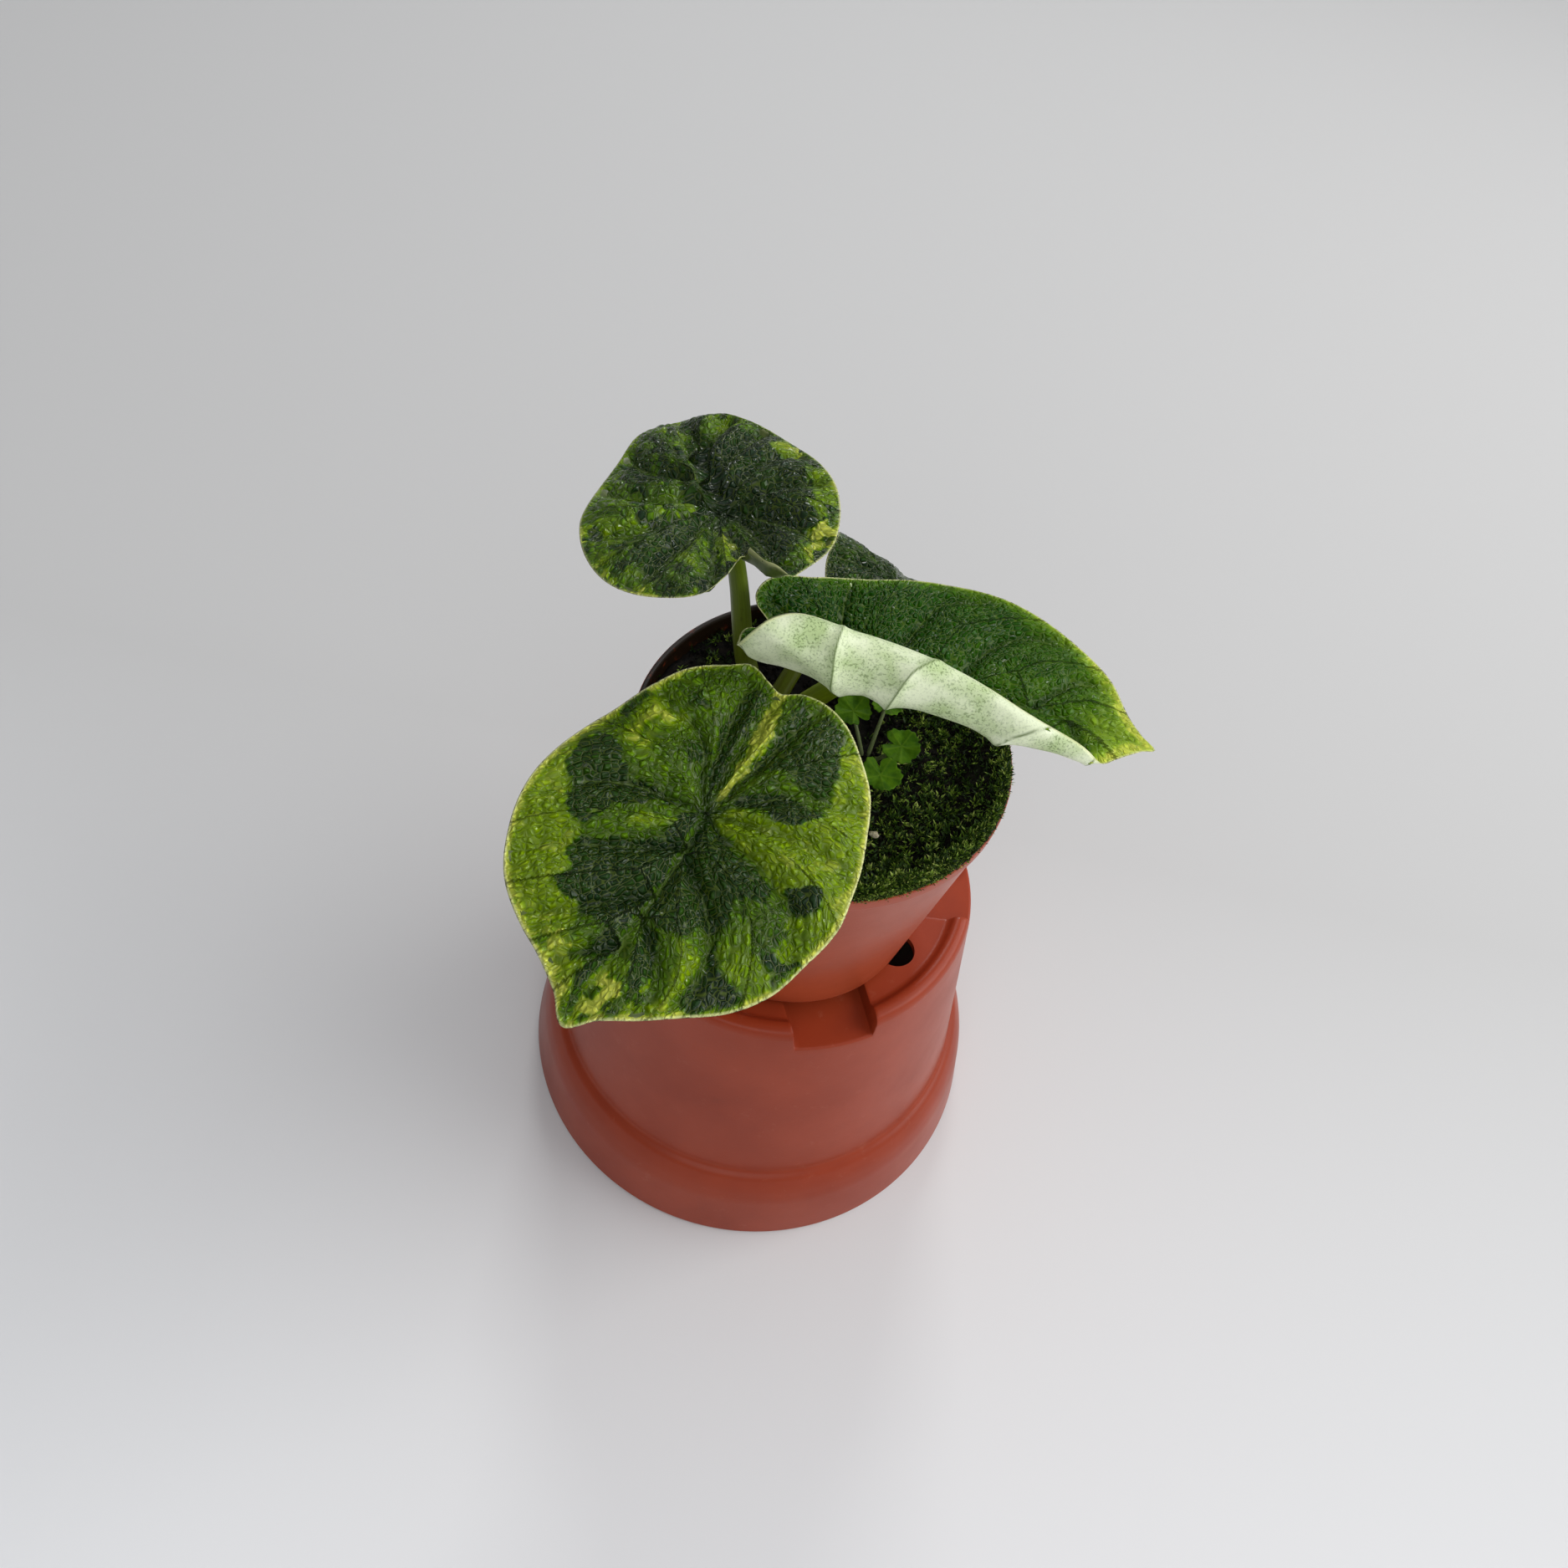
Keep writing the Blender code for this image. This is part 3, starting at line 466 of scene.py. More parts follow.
def build_leaf(name, place, outline_pairs, form, veins, colors, mats, slot, node, seed=1,
               top=(112, 672), under=(42, 168), relief=0.2, trough=(0.8, 1.25), bulge=0.8, blade_t=0.7,
               vein_w=0.16, under_vein_w=0.4, margin_w=(0.05, 0.32), rib=(0.55, 0.28), fade=28.0):
    """One blade as a closed mesh: quilted upper side, ribbed underside and the stitching along the margin."""
    def from_margin(s, q, t):
        rim = (1.0 - t) * np.hypot(s, q) / np.maximum(t, 1e-6)
        rim[0] = HUB_RIM
        return rim

    def relief_of(dist, along, rim, t):
        """How deep the veins are sunk, and how far the blade swells between them."""
        sunk = trough[0] * np.exp(-(dist / trough[1]) ** 2) * (0.3 + 0.7 * np.exp(-along / fade))
        return sunk, (bulge * (1.0 - np.exp(-(dist / 3.2) ** 2)) * smoothstep(0.0, 7.0, rim)
                      * smoothstep(0.02, 0.4, t))

    hub, axes = leaf_axes(*place)
    outline = Outline(outline_pairs)
    rings, spokes = top
    s, q, t = polar_grid(outline, rings, spokes)
    fields = quilt(s, q, veins, seed)
    surface, normal = form_and_normal(form, outline, s, q)
    rim = from_margin(s, q, t)
    taper = smoothstep(0.0, 1.6, rim)
    sunk, pillow = relief_of(fields["dist"], fields["along"], rim, t)
    crease = 1.0 - smoothstep(0.02, 0.4, fields["edge"])
    wrinkle = (relief * (fields["dome"] - 0.7 * crease + 0.25 * (fields["rand"] - 0.5))
               * (0.25 + 0.75 * taper))
    height = (pillow - sunk) * taper + wrinkle
    upper = surface + normal * height[:, None]
    upper[-spokes:] = (surface + normal * (-0.08 + 0.3 * wrinkle[:, None]))[-spokes:]

    r2, s2 = under
    us, uq, ut = polar_grid(outline, r2, s2)
    inner = slice(0, 1 + (r2 - 1) * s2)
    us, uq, ut = us[inner], uq[inner], ut[inner]
    udist, ualong, _, _, umid = vein_fields(us, uq, veins)
    below, bnormal = form_and_normal(form, outline, us, uq)
    urim = from_margin(us, uq, ut)
    ribs = (rib[0] * np.exp(-(umid / 0.75) ** 2) * np.exp(-ualong / VEIN_FADE)
            + rib[1] * np.exp(-(udist / 0.45) ** 2))
    usunk, upillow = relief_of(udist, ualong, urim, ut)
    depth = EDGE_THICK + (blade_t - EDGE_THICK) * smoothstep(0.0, 3.0, urim)
    lower = below + bnormal * (upillow - depth - (ribs + 0.8 * usunk) * smoothstep(0.0, 3.0, urim))[:, None]

    points = to_row(np.vstack([upper, lower]), hub, axes)
    start = len(upper)
    faces = disc_faces(rings, spokes, 0, False)
    upper_count = len(faces)
    faces += disc_faces(r2 - 1, s2, start, True)
    rim_at = 1 + (rings - 1) * spokes
    ring_at = start + 1 + (r2 - 2) * s2
    step = spokes // s2
    for j in range(s2):
        a, b = ring_at + j, ring_at + (j + 1) % s2
        half = step // 2
        for k in range(step):
            m, n = rim_at + j * step + k, rim_at + (j * step + k + 1) % spokes
            faces.append((n, m, a if k < half else b))
            if k == half:
                faces.append((m, a, b))
    mesh = bpy.data.meshes.new(name)
    mesh.from_pydata(points.tolist(), [], faces)
    mesh.polygons.foreach_set("material_index", np.concatenate(
        [np.zeros(upper_count, np.int32), np.ones(len(mesh.polygons) - upper_count, np.int32)]))
    mesh.shade_smooth()

    level = colors(s, q, fields, rim)
    dist, along = fields["dist"], fields["along"]
    vein = np.exp(-(dist / vein_w) ** 2) * np.exp(-along / VEIN_FADE) * smoothstep(3.0, 12.0, along)
    # painted shade: darker down the vein grooves, fading along them and near the margin, and in the sunken hub
    groove = np.exp(-(dist / 0.85) ** 2) * np.exp(-along / (0.55 * fade)) * smoothstep(0.5, 3.0, rim)
    groove = np.maximum(groove, np.exp(-(np.hypot(s, q) / 2.2) ** 2))
    put_attribute(mesh, "groove", np.concatenate([groove, np.zeros(len(lower))]))
    margin = (1.0 - smoothstep(margin_w[0], margin_w[1], rim)) * 0.85
    put_attribute(mesh, "level", np.concatenate([level, np.zeros(len(lower))]))
    flow = np.vstack([fields["flow"], np.zeros((len(lower), 3))]).astype(np.float32)
    mesh.attributes.new("flow", 'FLOAT_VECTOR', 'POINT').data.foreach_set("vector", flow.ravel())
    put_attribute(mesh, "vein", np.concatenate([vein, np.exp(-(udist / under_vein_w) ** 2)]))
    put_attribute(mesh, "margin", np.concatenate([margin, 1.0 - smoothstep(0.1, 0.7, urim)]))
    take_place(new_object(name, mesh, mats), slot, node)


# ---------------------------------------------------------------- front leaf
FRONT_PLACE = ((-14.6, -48.2, 165.0), (-0.313, -0.934, -0.174), (0.054, -0.2, 0.978))
FRONT_OUTLINE = [(0, 42), (6, 39), (15, 36.8), (25, 35), (37, 34), (50, 32.5), (62, 30.5), (77, 29.3),
                 (90, 27.7), (112, 27), (130, 28), (143, 28.2), (157, 29), (168, 29), (176, 28),
                 (182, 26.3), (188, 27.5), (196, 29.6), (204, 28.3), (217, 26.8), (232, 24.8), (250, 24),
                 (265, 25.2), (280, 27.2), (294, 29.5), (309, 32), (322, 34.2), (336, 35.2), (345, 36),
                 (354, 38.5)]
FRONT_VEINS = [
    [(0, 0), (2, 0.4), (10, 0.7), (22, 0.9), (34, 0.5), (41.5, -0.2)],
    [(0, 0), (2.5, 4), (3, 8), (3.8, 12.5), (5.3, 16), (8, 20.5), (11.5, 22.8), (15.5, 25.2)],
    [(8, 0.6), (11, 4), (13, 7), (15.5, 9.5), (18.5, 12), (23, 13.5), (28, 14), (32, 13)],
    [(21, 0.8), (24, 4), (26.5, 7), (31, 9), (35, 8.6)],
    [(0, 0), (-3, 2.5), (-6, 6), (-10, 11), (-12.5, 17), (-14, 22)],
    [(0, 0), (-1.2, 5), (-2.6, 12), (-3.4, 18), (-2, 25)],
    [(0, 0), (-8, 1.9), (-16, 3.8), (-24, 5.8), (-27, 6.5)],
    [(0, 0), (-8, -1.2), (-16, -1.0), (-25, -1.4)],
    [(0, 0), (-6, -2.6), (-14, -4.6), (-24, -6.5), (-27, -7.5)],
    [(0, 0), (-4, -3), (-9.5, -6.5), (-12, -10), (-12.8, -14.5), (-14.5, -18)],
    [(0, 0), (0.8, -4), (2, -9), (3.5, -14), (6.5, -19), (11, -23.5)],
    [(7, 0.5), (10, -4), (13, -8.5), (16, -13.5), (20, -19), (24, -22.5)],
    [(17, 0.8), (21, -4), (25, -8), (29, -13), (30, -15)],
    [(27, 0.7), (30, -3), (34, -6.5)]]
FRONT_PATCHES = [
    (0.7, 0.5, [(-26, -12), (-20, -16), (-14, -18.5), (-10, -20.5), (-5, -22), (0, -24), (5, -23),
                (8, -21.5), (12.5, -19.5), (13, -15.5), (16, -15), (19, -14.5), (20.5, -13), (23, -14),
                (24.5, -11), (25, -8), (28, -7), (29, -8), (33, -4), (37, -2), (41, -2), (34, -18),
                (24, -27), (8, -31), (-8, -27), (-20, -22), (-28, -16)]),
    (0.76, 0.5, [(-24, 12), (-18, 15), (-13, 16.5), (-9, 16.5), (-7, 14.5), (-5, 12), (-4, 7), (-3, 3),
                 (0, 0.5), (2, 4), (3, 9), (4.5, 14), (7, 18), (4, 20), (2.5, 22.5), (5, 24.5), (8.5, 22.5),
                 (9, 21), (15, 22), (17, 24), (14, 28), (8, 31), (0, 30), (-10, 28), (-18, 24)]),
    (0.16, 0.3, [(0.8, 0.8), (5, 1), (20, 1), (22, 4), (20, 8), (17, 12), (14, 13), (11, 12), (9, 17),
                 (6, 15.5), (4.5, 11), (3.2, 6)]),
    (0.1, 0.25, [(0.5, -0.5), (8, 0), (24, 0), (26, -3), (25.5, -7), (24.5, -10.5), (23.5, -14),
                 (20.5, -12.5), (18, -15), (15, -14.5), (12, -9), (8, -3.5), (3, -3)]),
    (0.12, 0.25, [(1.5, -5), (4, -8), (8, -13), (12.7, -15.5), (12.3, -20), (8, -20.5), (6, -23.2),
                  (2, -24), (-2, -22.3), (-1, -17), (3, -14.5), (1.5, -9)]),
    (0.12, 0.25, [(-4.6, 12.5), (-7, 15), (-9, 16.5), (-10, 12.5), (-9.5, 8), (-6, 4.5), (-3.5, 2.5),
                  (-4.8, 7)]),
    (0.2, 0.5, [(-12, 15.5), (-12.5, 7), (-11, 4), (-16, 5.5), (-26, 8), (-24, 12), (-18, 14.8)]),
    (0.1, 0.2, [(3.5, 20), (2, 22), (3, 23.7), (6, 23.5), (8.5, 22), (8, 20.5), (6, 18.5)]),
    (0.15, 0.2, [(15, 21.5), (15.6, 24), (13, 27.5), (14, 27.8), (17.5, 23.5), (17.5, 21.5), (16, 20.5)]),
    (0.1, 0.25, [(23.5, 19.7), (25, 20.2), (28, 18), (30.5, 15.3), (30, 13.5), (24, 14), (18, 12.5),
                 (20, 14.5), (22.5, 15.5), (23.5, 17)]),
    (0.12, 0.3, [(25, -1.5), (31, -4), (32.5, -1.5), (34, -2), (36, -1.5), (31, 0.3), (26, 0.3)]),
    (0.12, 0.3, [(22, 2), (30, 4), (33, 6.5), (30, 8), (26, 6.5), (23, 5)]),
    (0.24, 0.5, [(-9, -5), (-5, -7), (-6, -9.5), (-9.5, -9.8), (-11.5, -8)]),
    (0.22, 0.5, [(-18, -11.3), (-15, -10.8), (-14.8, -13), (-17.5, -13.7)]),
    (0.2, 0.5, [(-25, -3), (-20, -2.2), (-10, -1.8), (-3, -1.2), (-8, -4), (-16, -5.7), (-24, -6)]),
    (0.24, 0.5, [(-27, 3.2), (-20, 3), (-8, 1.6), (-3, 1), (-8, 2.6), (-16, 5), (-24, 6.5)]),
    (0.2, 0.3, [(-13, -18.8), (-6, -20.3), (-8, -21.8), (-13, -20.8)]),
    (0.95, 0.3, [(-28.5, -1.9), (-24, -1.6), (-12, -0.3), (-1, 0.2), (-4, 1.3), (-12, 2.1), (-19, 2.0),
                 (-23, 0.9), (-27.5, 0.3)]),
    (0.86, 1.7, [(-12.5, -12), (-9, -12.5), (-8.5, -15), (-3, -14), (-2.5, -18), (-8, -18.5), (-12, -18)]),
    (0.4, 0.8, [(-10.5, -15), (-6, -16.4), (-3, -16), (-6, -15.4)]),
    (0.72, 0.5, [(5, -3.3), (8, -5.8), (9.8, -10), (7, -8.5), (5, -6)]),
    (0.66, 0.8, [(14, 14.5), (18, 12.8), (21, 15), (17, 19), (12, 15)]),
    (0.78, 0.6, [(18, 16.5), (22, 16), (23, 19.8), (25, 21.3), (22, 25), (17.5, 22)]),
    (0.72, 0.5, [(21.5, 6.5), (23, 9), (27, 10.5), (31, 10.8), (34, 9), (33, 12.5), (27, 13), (22, 12.5)]),
    (1.0, 0.25, [(32.5, 3.7), (34, 5), (37.2, 3.3), (39, 1.3), (34, 1.2), (32.3, 2)]),
    (0.88, 0.3, [(3, 24.5), (1, 25), (2, 26.8), (4.5, 26.5)])]


def front_form(s, q, t, phi):
    lift = 3.4 * t * (1.0 - 0.8 * t * t) * (0.4 + 0.6 * np.sin(phi) ** 2)
    wave = 0.9 * t ** 3 * np.sin(5 * phi + 0.6)
    tip = 2.0 * np.maximum(0.0, (s - 28.0) / 14.0) ** 2
    return s, q, lift + wave - tip


def front_colors(s, q, fields, rim):
    level = paint(s, q, 0.46, FRONT_PATCHES, fields, 21)
    level = (level - 0.12 * smoothstep(4.0, 14.0, s) * smoothstep(10.0, 20.0, q)
             + 0.06 * smoothstep(6.0, 18.0, -q))
    tip = smoothstep(26.0, 34.0, s) * 0.6 * (np.modf(fields["rand"] * 5.3)[0] - 0.3)
    edge = (1.0 - smoothstep(0.3, 1.6, rim)) * (0.25 + 0.2 * smoothstep(0.0, 8.0, s) * (q > 0))
    return np.clip(level + tip + edge, 0.0, 1.0)


build_leaf("front_leaf", FRONT_PLACE, FRONT_OUTLINE, front_form, FRONT_VEINS, front_colors,
           (VARIEGATED, OLIVE_UNDER), "leaf", "leaf_front", seed=3, margin_w=(0.12, 0.5),
           trough=(1.25, 1.4), bulge=1.2, relief=0.26)

# ---------------------------------------------------------------- back leaf
BACK_PLACE = ((-25.4, 0.0, 188.0), (-0.39, 0.885, -0.254), (-0.268, 0.155, 0.951))
BACK_OUTLINE = [(0, 36.5), (12, 34), (30, 27.5), (50, 24), (70, 22.8), (90, 24), (110, 26), (132, 28.5),
                (150, 30), (163, 30), (171, 26), (177, 22), (180, 21.2), (182.5, 25), (185, 30), (189, 31),
                (195, 29.5), (200, 28.6), (210, 27), (228, 23.6), (250, 21.2), (275, 20.2), (300, 22.2),
                (318, 25), (335, 29.5), (350, 34.5)]
BACK_VEINS = [
    [(0, 0), (8, 0.3), (20, 0.5), (36, 0.2)],
    [(0, 0), (-1, 4), (-3, 9), (-5, 15), (-4, 21)],
    [(0, 0.2), (3, 4), (4, 10), (8, 15), (13, 18)],
    [(9, 0.4), (12, 4), (17, 9), (24, 12)],
    [(0, 0), (-5, 3.5), (-12, 9), (-18, 15), (-21, 19)],
    [(0, 0), (-8, 2), (-16, 4), (-26, 7), (-28, 8)],
    [(0, 0), (-8, 0.4), (-20, 0.6)],
    [(0, 0), (-7, -2.2), (-16, -3.6), (-26, -4.2)],
    [(0, 0), (-5, -3.4), (-11, -8), (-17, -12), (-20, -14)],
    [(0, 0), (-1, -5), (-1, -11), (-3, -17)],
    [(0, 0), (4, -3), (8, -8), (10, -14), (9, -18)],
    [(9, 0.3), (14, -4), (19, -10), (22, -14)],
    [(18, 0.4), (23, -3), (28, -8)]]
BACK_PATCHES = [
    (0.5, 1.5, [(-2, 15), (6, 12), (14, 15), (22, 14), (28, 6), (34, 2), (38, 8), (20, 25), (0, 28)]),
    (0.1, 1.0, [(11, 9), (21, 9), (22, 13), (12, 13.5)]),
    (0.08, 1.2, [(0, -1), (18, -1), (24, -6), (20, -15), (6, -16.5), (-10, -16), (-18, -11), (-24, -6),
                 (-18, -3.6), (-8, -2.6)]),
    (0.12, 1.0, [(-6, 5), (-12, 9), (-19, 14), (-16, 17), (-10, 13), (-4, 9)]),
    (0.16, 0.8, [(1, 1), (9, 1), (14, 6), (12, 9), (6, 7), (1, 4)]),
    (0.5, 0.8, [(3, 8), (5, 11.8), (8.5, 10), (7, 7.8), (10, 4), (4, 5)]),
    (0.82, 0.4, [(-26, 15.8), (-23, 19.5), (-20.5, 20), (-20.3, 17.4), (-23, 16)]),
    (0.9, 0.4, [(-27, -9.3), (-23, -9), (-20, -11), (-16, -13), (-14, -16), (-17, -16), (-22, -14)]),
    (0.62, 0.5, [(-14, -13.5), (-6, -15), (2, -17), (0, -20), (-9, -20), (-13, -17)]),
    (0.78, 0.5, [(10, -16), (14.5, -13.3), (17, -16.5), (14, -19), (10, -18.5)]),
    (0.66, 0.8, [(19, -0.6), (27, -1.5), (31, -7), (28, -10), (25, -5), (20, -3)]),
    (0.74, 0.4, [(-5, 22.5), (-3.5, 26), (1, 25), (-1, 22)]),
    (0.8, 0.4, [(-22, 2.8), (-12, 3.3), (-6, 1.3), (-12, 0.6), (-22, 0.9)]),
    (0.66, 0.4, [(-18, 5.8), (-11, 6), (-11, 4.7), (-18, 4.6)]),
    (0.58, 0.5, [(-2, 1), (2, 5), (2, 9), (-1, 8)]),
    (0.5, 0.5, [(3, -5), (7, -6), (8, -10), (4, -9)]),
    (0.55, 0.5, [(-4, 14), (-10, 18), (-9, 20.5), (-2, 17)])]


def back_form(s, q, t, phi):
    lift = 3.2 * t * (1.0 - 0.7 * t * t) * (0.35 + 0.65 * np.sin(phi) ** 2)
    droop = 0.05 * np.maximum(0.0, s - 30.0) ** 2
    fold = 0.006 * np.maximum(0.0, -q - 9.0) ** 2
    wave = 0.8 * t ** 3 * np.sin(4 * phi + 2.0)
    # the midrib is a sharp fold: a ridge on its left, a deep valley on its right
    sharp = smoothstep(-1.0, 6.0, s) * (1.0 - smoothstep(26.0, 36.0, s))
    wave = wave + sharp * (1.2 * np.exp(-((q - 1.7) / 1.5) ** 2) - 2.0 * np.exp(-((q + 1.5) / 1.6) ** 2))
    # beside the sinus the rim curls up and shows its underside
    deg = np.degrees(phi) % 360.0
    window = smoothstep(179.5, 182.5, deg) * (1.0 - smoothstep(186.0, 194.0, deg))
    reach = np.hypot(s, q)
    whole = reach / np.maximum(t, 1e-6)
    bent = np.maximum(0.0, 4.2 - (whole - reach)) * window
    angle = bent / 2.6
    back = bent - 2.6 * np.sin(angle)
    scale = (reach - back) / np.maximum(reach, 1e-6)
    return s * scale, q * scale, lift + wave - droop - fold + 2.6 * (1.0 - np.cos(angle))


def back_colors(s, q, fields, rim):
    mottled = 0.3 + 1.1 * (fbm(s * 0.28, q * 0.5, 77, 4) - 0.5) + 0.3 * (fields["rand"] - 0.5)
    level = paint(s, q, mottled, BACK_PATCHES, fields, 41, jag=2.2, speckle=0.14)
    # a pale line down the midrib, the vein's own colour, and painted shade in the valley to its right
    sharp = smoothstep(1.0, 5.0, s) * (1.0 - smoothstep(26.0, 36.0, s))
    level = level + sharp * (0.4 * np.exp(-((q - 0.6) / 0.4) ** 2) - 0.4 * np.exp(-((q + 2.2) / 1.6) ** 2))
    return np.clip(level + 0.2 * (1.0 - smoothstep(0.3, 1.4, rim)), 0.0, 1.0)


build_leaf("back_leaf", BACK_PLACE, BACK_OUTLINE, back_form, BACK_VEINS, back_colors,
           (VARIEGATED, OLIVE_UNDER), "leaf", "leaf_back", seed=5, top=(100, 600), under=(50, 200),
           trough=(2.0, 1.9), bulge=1.2, fade=24.0, vein_w=0.3)

# ---------------------------------------------------------------- right leaf, its near half still rolled
RIGHT_PLACE = ((4.0, -9.0, 166.3), (56.0, -2.2, -1.2), (0.05, 0.0, 1.0))
RIGHT_OUTLINE = [(0, 57.3), (2, 54.5), (6, 51.6), (14, 49), (24, 44.2), (42, 36.5), (63, 27.5), (92, 21),
                 (125, 19.5), (147, 21.5), (162, 21.5), (171, 20), (178, 16.8), (184, 17), (190, 20.5),
                 (200, 22), (212, 23.5), (228, 25), (250, 26.5), (270, 27), (300, 29), (324, 35), (343, 45),
                 (352, 49.5), (358, 54.5)]
RIGHT_VEINS = [
    [(0, 0), (12, 0.2), (30, 0.2), (55, 0)],
    [(0, 0), (-3, 5), (-4.3, 11), (-4.4, 18)],
    [(0, 0), (-8, 2.5), (-18, 5.5)],
    [(6, 0.2), (8.5, 8), (11, 15), (14, 20), (22, 23)],
    [(19, 0.2), (21.5, 7), (25, 13), (31, 17), (38, 17.5)],
    [(33, 0.2), (37, 5), (41, 9), (46, 10)],
    [(-1, 0), (-1, -10), (-2.5, -13), (-3.5, -17), (-3.8, -20.5), (-3.4, -26)],
    [(7, 0), (7.5, -10.5), (8.3, -15), (10, -19), (12.5, -21.5), (16, -25)],
    [(25, 0), (27.7, -10.5), (28.5, -13), (30, -14.8), (35, -17), (40, -18), (44, -19)],
    [(40, 0), (44, -8), (46, -14)],
    [(0, 0), (-8, -4), (-16, -9), (-20, -12)]]


def right_form(s, q, t, phi):
    """The far half lies open; the near half is still rolled up and over towards the midrib."""
    lengthwise = 4.6 * np.clip(-s / 20.0, 0.0, 1.0) ** 1.5 - 1.8 * np.maximum(0.0, (s - 42.0) / 14.0) ** 2
    roll_from = 5.6 + 2.8 * np.exp(-((s - 36.0) / 17.0) ** 2)
    radius = 5.4 * (1.0 - np.clip(s / 60.0, 0.0, 1.0) ** 1.6)
    w = np.maximum(0.0, -q - roll_from)
    angle = w / radius
    angle = np.minimum(angle, math.radians(290.0)) + 0.02 * np.maximum(0.0, angle - math.radians(290.0))
    ridge = 1.0 + 0.12 * smoothstep(8.0, -6.0, s) * np.exp(-((angle - 1.5 + 0.05 * s) / 0.4) ** 2)
    rho = radius * ridge * (1.0 - 0.13 * np.maximum(0.0, angle - math.pi) / math.pi)
    rolled = -q > roll_from
    y = np.where(rolled, -roll_from - rho * np.sin(angle), q)
    z = np.where(rolled, radius - rho * np.cos(angle), 0.002 * np.maximum(0.0, q) ** 2)
    return s, y, lengthwise + z


def right_colors(s, q, fields, rim):
    along = smoothstep(-15.0, 50.0, s)
    level = 0.12 + 0.34 * along + 0.34 * smoothstep(38.0, 52.0, s)
    level = level + 0.3 * (1.0 - smoothstep(0.0, 5.0, rim)) + 0.2 * (fbm(s * 0.15, q * 0.2, 12) - 0.5)
    level = level + 0.1 * (fields["rand"] - 0.5)
    return np.clip(level + 0.12 * (1.0 - smoothstep(0.3, 1.2, rim)), 0.0, 0.95)


build_leaf("right_leaf", RIGHT_PLACE, RIGHT_OUTLINE, right_form, RIGHT_VEINS, right_colors,
           (FRESH, PALE_UNDER), "leaf_new", "leaf_right", seed=8, top=(90, 600), under=(70, 600), bulge=1.0,
           trough=(0.7, 1.0), blade_t=0.55, under_vein_w=0.17, rib=(0.3, 0.12), relief=0.2, fade=50.0,
           margin_w=(0.1, 0.4))

# ---------------------------------------------------------------- rear leaf
REAR_PLACE = ((9.8, 29.5, 152.5), (0.93, -0.16, -0.33), (0.33, 0.05, 0.94))
REAR_OUTLINE = [(0, 29), (12, 25), (35, 20), (65, 17), (95, 16), (130, 17), (155, 16.5), (180, 15.5),
                (205, 16.5), (230, 17), (265, 16), (295, 17), (325, 20), (348, 25)]
REAR_VEINS = [
    [(0, 0), (10, 0), (28, 0)],
    [(0, 0), (1, 6), (4, 14)], [(8, 0), (12, 6), (16, 12)], [(0, 0), (-5, 5), (-8, 12)],
    [(0, 0), (1, -6), (4, -14)], [(8, 0), (12, -6), (16, -12)], [(0, 0), (-5, -5), (-8, -12)],
    [(0, 0), (-8, 2), (-14, 4)], [(0, 0), (-8, -2), (-14, -4)]]


def rear_form(s, q, t, phi):
    slope = np.where(q > 0, 0.8, 0.35)
    tent = slope * (np.sqrt(q * q + 16.0) - 4.0)
    return s, q, -tent - 0.002 * np.maximum(0.0, s) ** 2


def rear_colors(s, q, fields, rim):
    level = 0.16 + 0.5 * (fbm(s * 0.35, q * 0.5, 91) - 0.42) + 0.25 * (fields["rand"] - 0.5)
    return np.clip(level, 0.0, 1.0)


build_leaf("rear_leaf", REAR_PLACE, REAR_OUTLINE, rear_form, REAR_VEINS, rear_colors,
           (VARIEGATED, OLIVE_UNDER), "leaf", "leaf_rear", seed=11, top=(60, 360), under=(24, 120), bulge=0.5)


# ================================================================ pots
POLE, DRAIN_HOLES = 1e-6, 5                                      # a ring this small, in mm, is one vertex


def row(x, y, z):
    """Millimetres about the stand pot's axis to the row frame."""
    return Vector((x, y, z)) * MM + AXIS


def rounded(profile, sizes, count):
    """A profile of (radius, height) points, its corners in sizes turned into small arcs of count steps."""
    out = []
    for i, p in enumerate(profile):
        if i in (0, len(profile) - 1) or i not in sizes:
            out.append(p)
            continue
        a, b, c = (np.array(v, float) for v in (profile[i - 1], p, profile[i + 1]))
        la, lc = np.linalg.norm(a - b), np.linalg.norm(c - b)
        cut = min(sizes[i], 0.45 * la, 0.45 * lc)
        start, end = b + (a - b) / la * cut, b + (c - b) / lc * cut
        for k in range(count + 1):
            t = k / count
            out.append(tuple((1 - t) ** 2 * start + 2 * t * (1 - t) * b + t * t * end))
    return out


def skin(bm, rings):
    """Faces between each ring of vertices and the next; a ring of one vertex is a pole."""
    steps = max(len(ring) for ring in rings)
    for one, two in zip(rings, rings[1:]):
        for j in range(steps):
            k = (j + 1) % steps
            if len(one) == 1:
                bm.faces.new((one[0], two[j], two[k]))
            elif len(two) == 1:
                bm.faces.new((one[j], two[0], one[k]))
            else:
                bm.faces.new((one[j], two[j], two[k], one[k]))


def lathe(name, profile, steps, centre):
    """A closed turned mesh: the profile starts and ends on the axis."""
    bm = bmesh.new()
    rings = []
    for r, z in profile:
        turn = [2 * math.pi * j / steps for j in range(steps)] if r > POLE else [0.0]
        rings.append([bm.verts.new(row(centre[0] + r * math.cos(a), centre[1] + r * math.sin(a), z))
                      for a in turn])
    skin(bm, rings)
    return mesh_from(bm, name)


def pins(name, first_deg, ring_r, pin_r, z0, z1, centre=(0.0, 0.0)):
    """The cutters for a ring of drain holes."""
    bm = bmesh.new()
    for i in range(DRAIN_HOLES):
        a = math.radians(first_deg + 360.0 * i / DRAIN_HOLES)
        at = row(centre[0] + ring_r * math.cos(a), centre[1] + ring_r * math.sin(a), (z0 + z1) / 2)
        bmesh.ops.create_cone(bm, cap_ends=True, segments=40, radius1=pin_r * MM, radius2=pin_r * MM,
                              depth=(z1 - z0) * MM, matrix=Matrix.Translation(at))
    return mesh_from(bm, name)


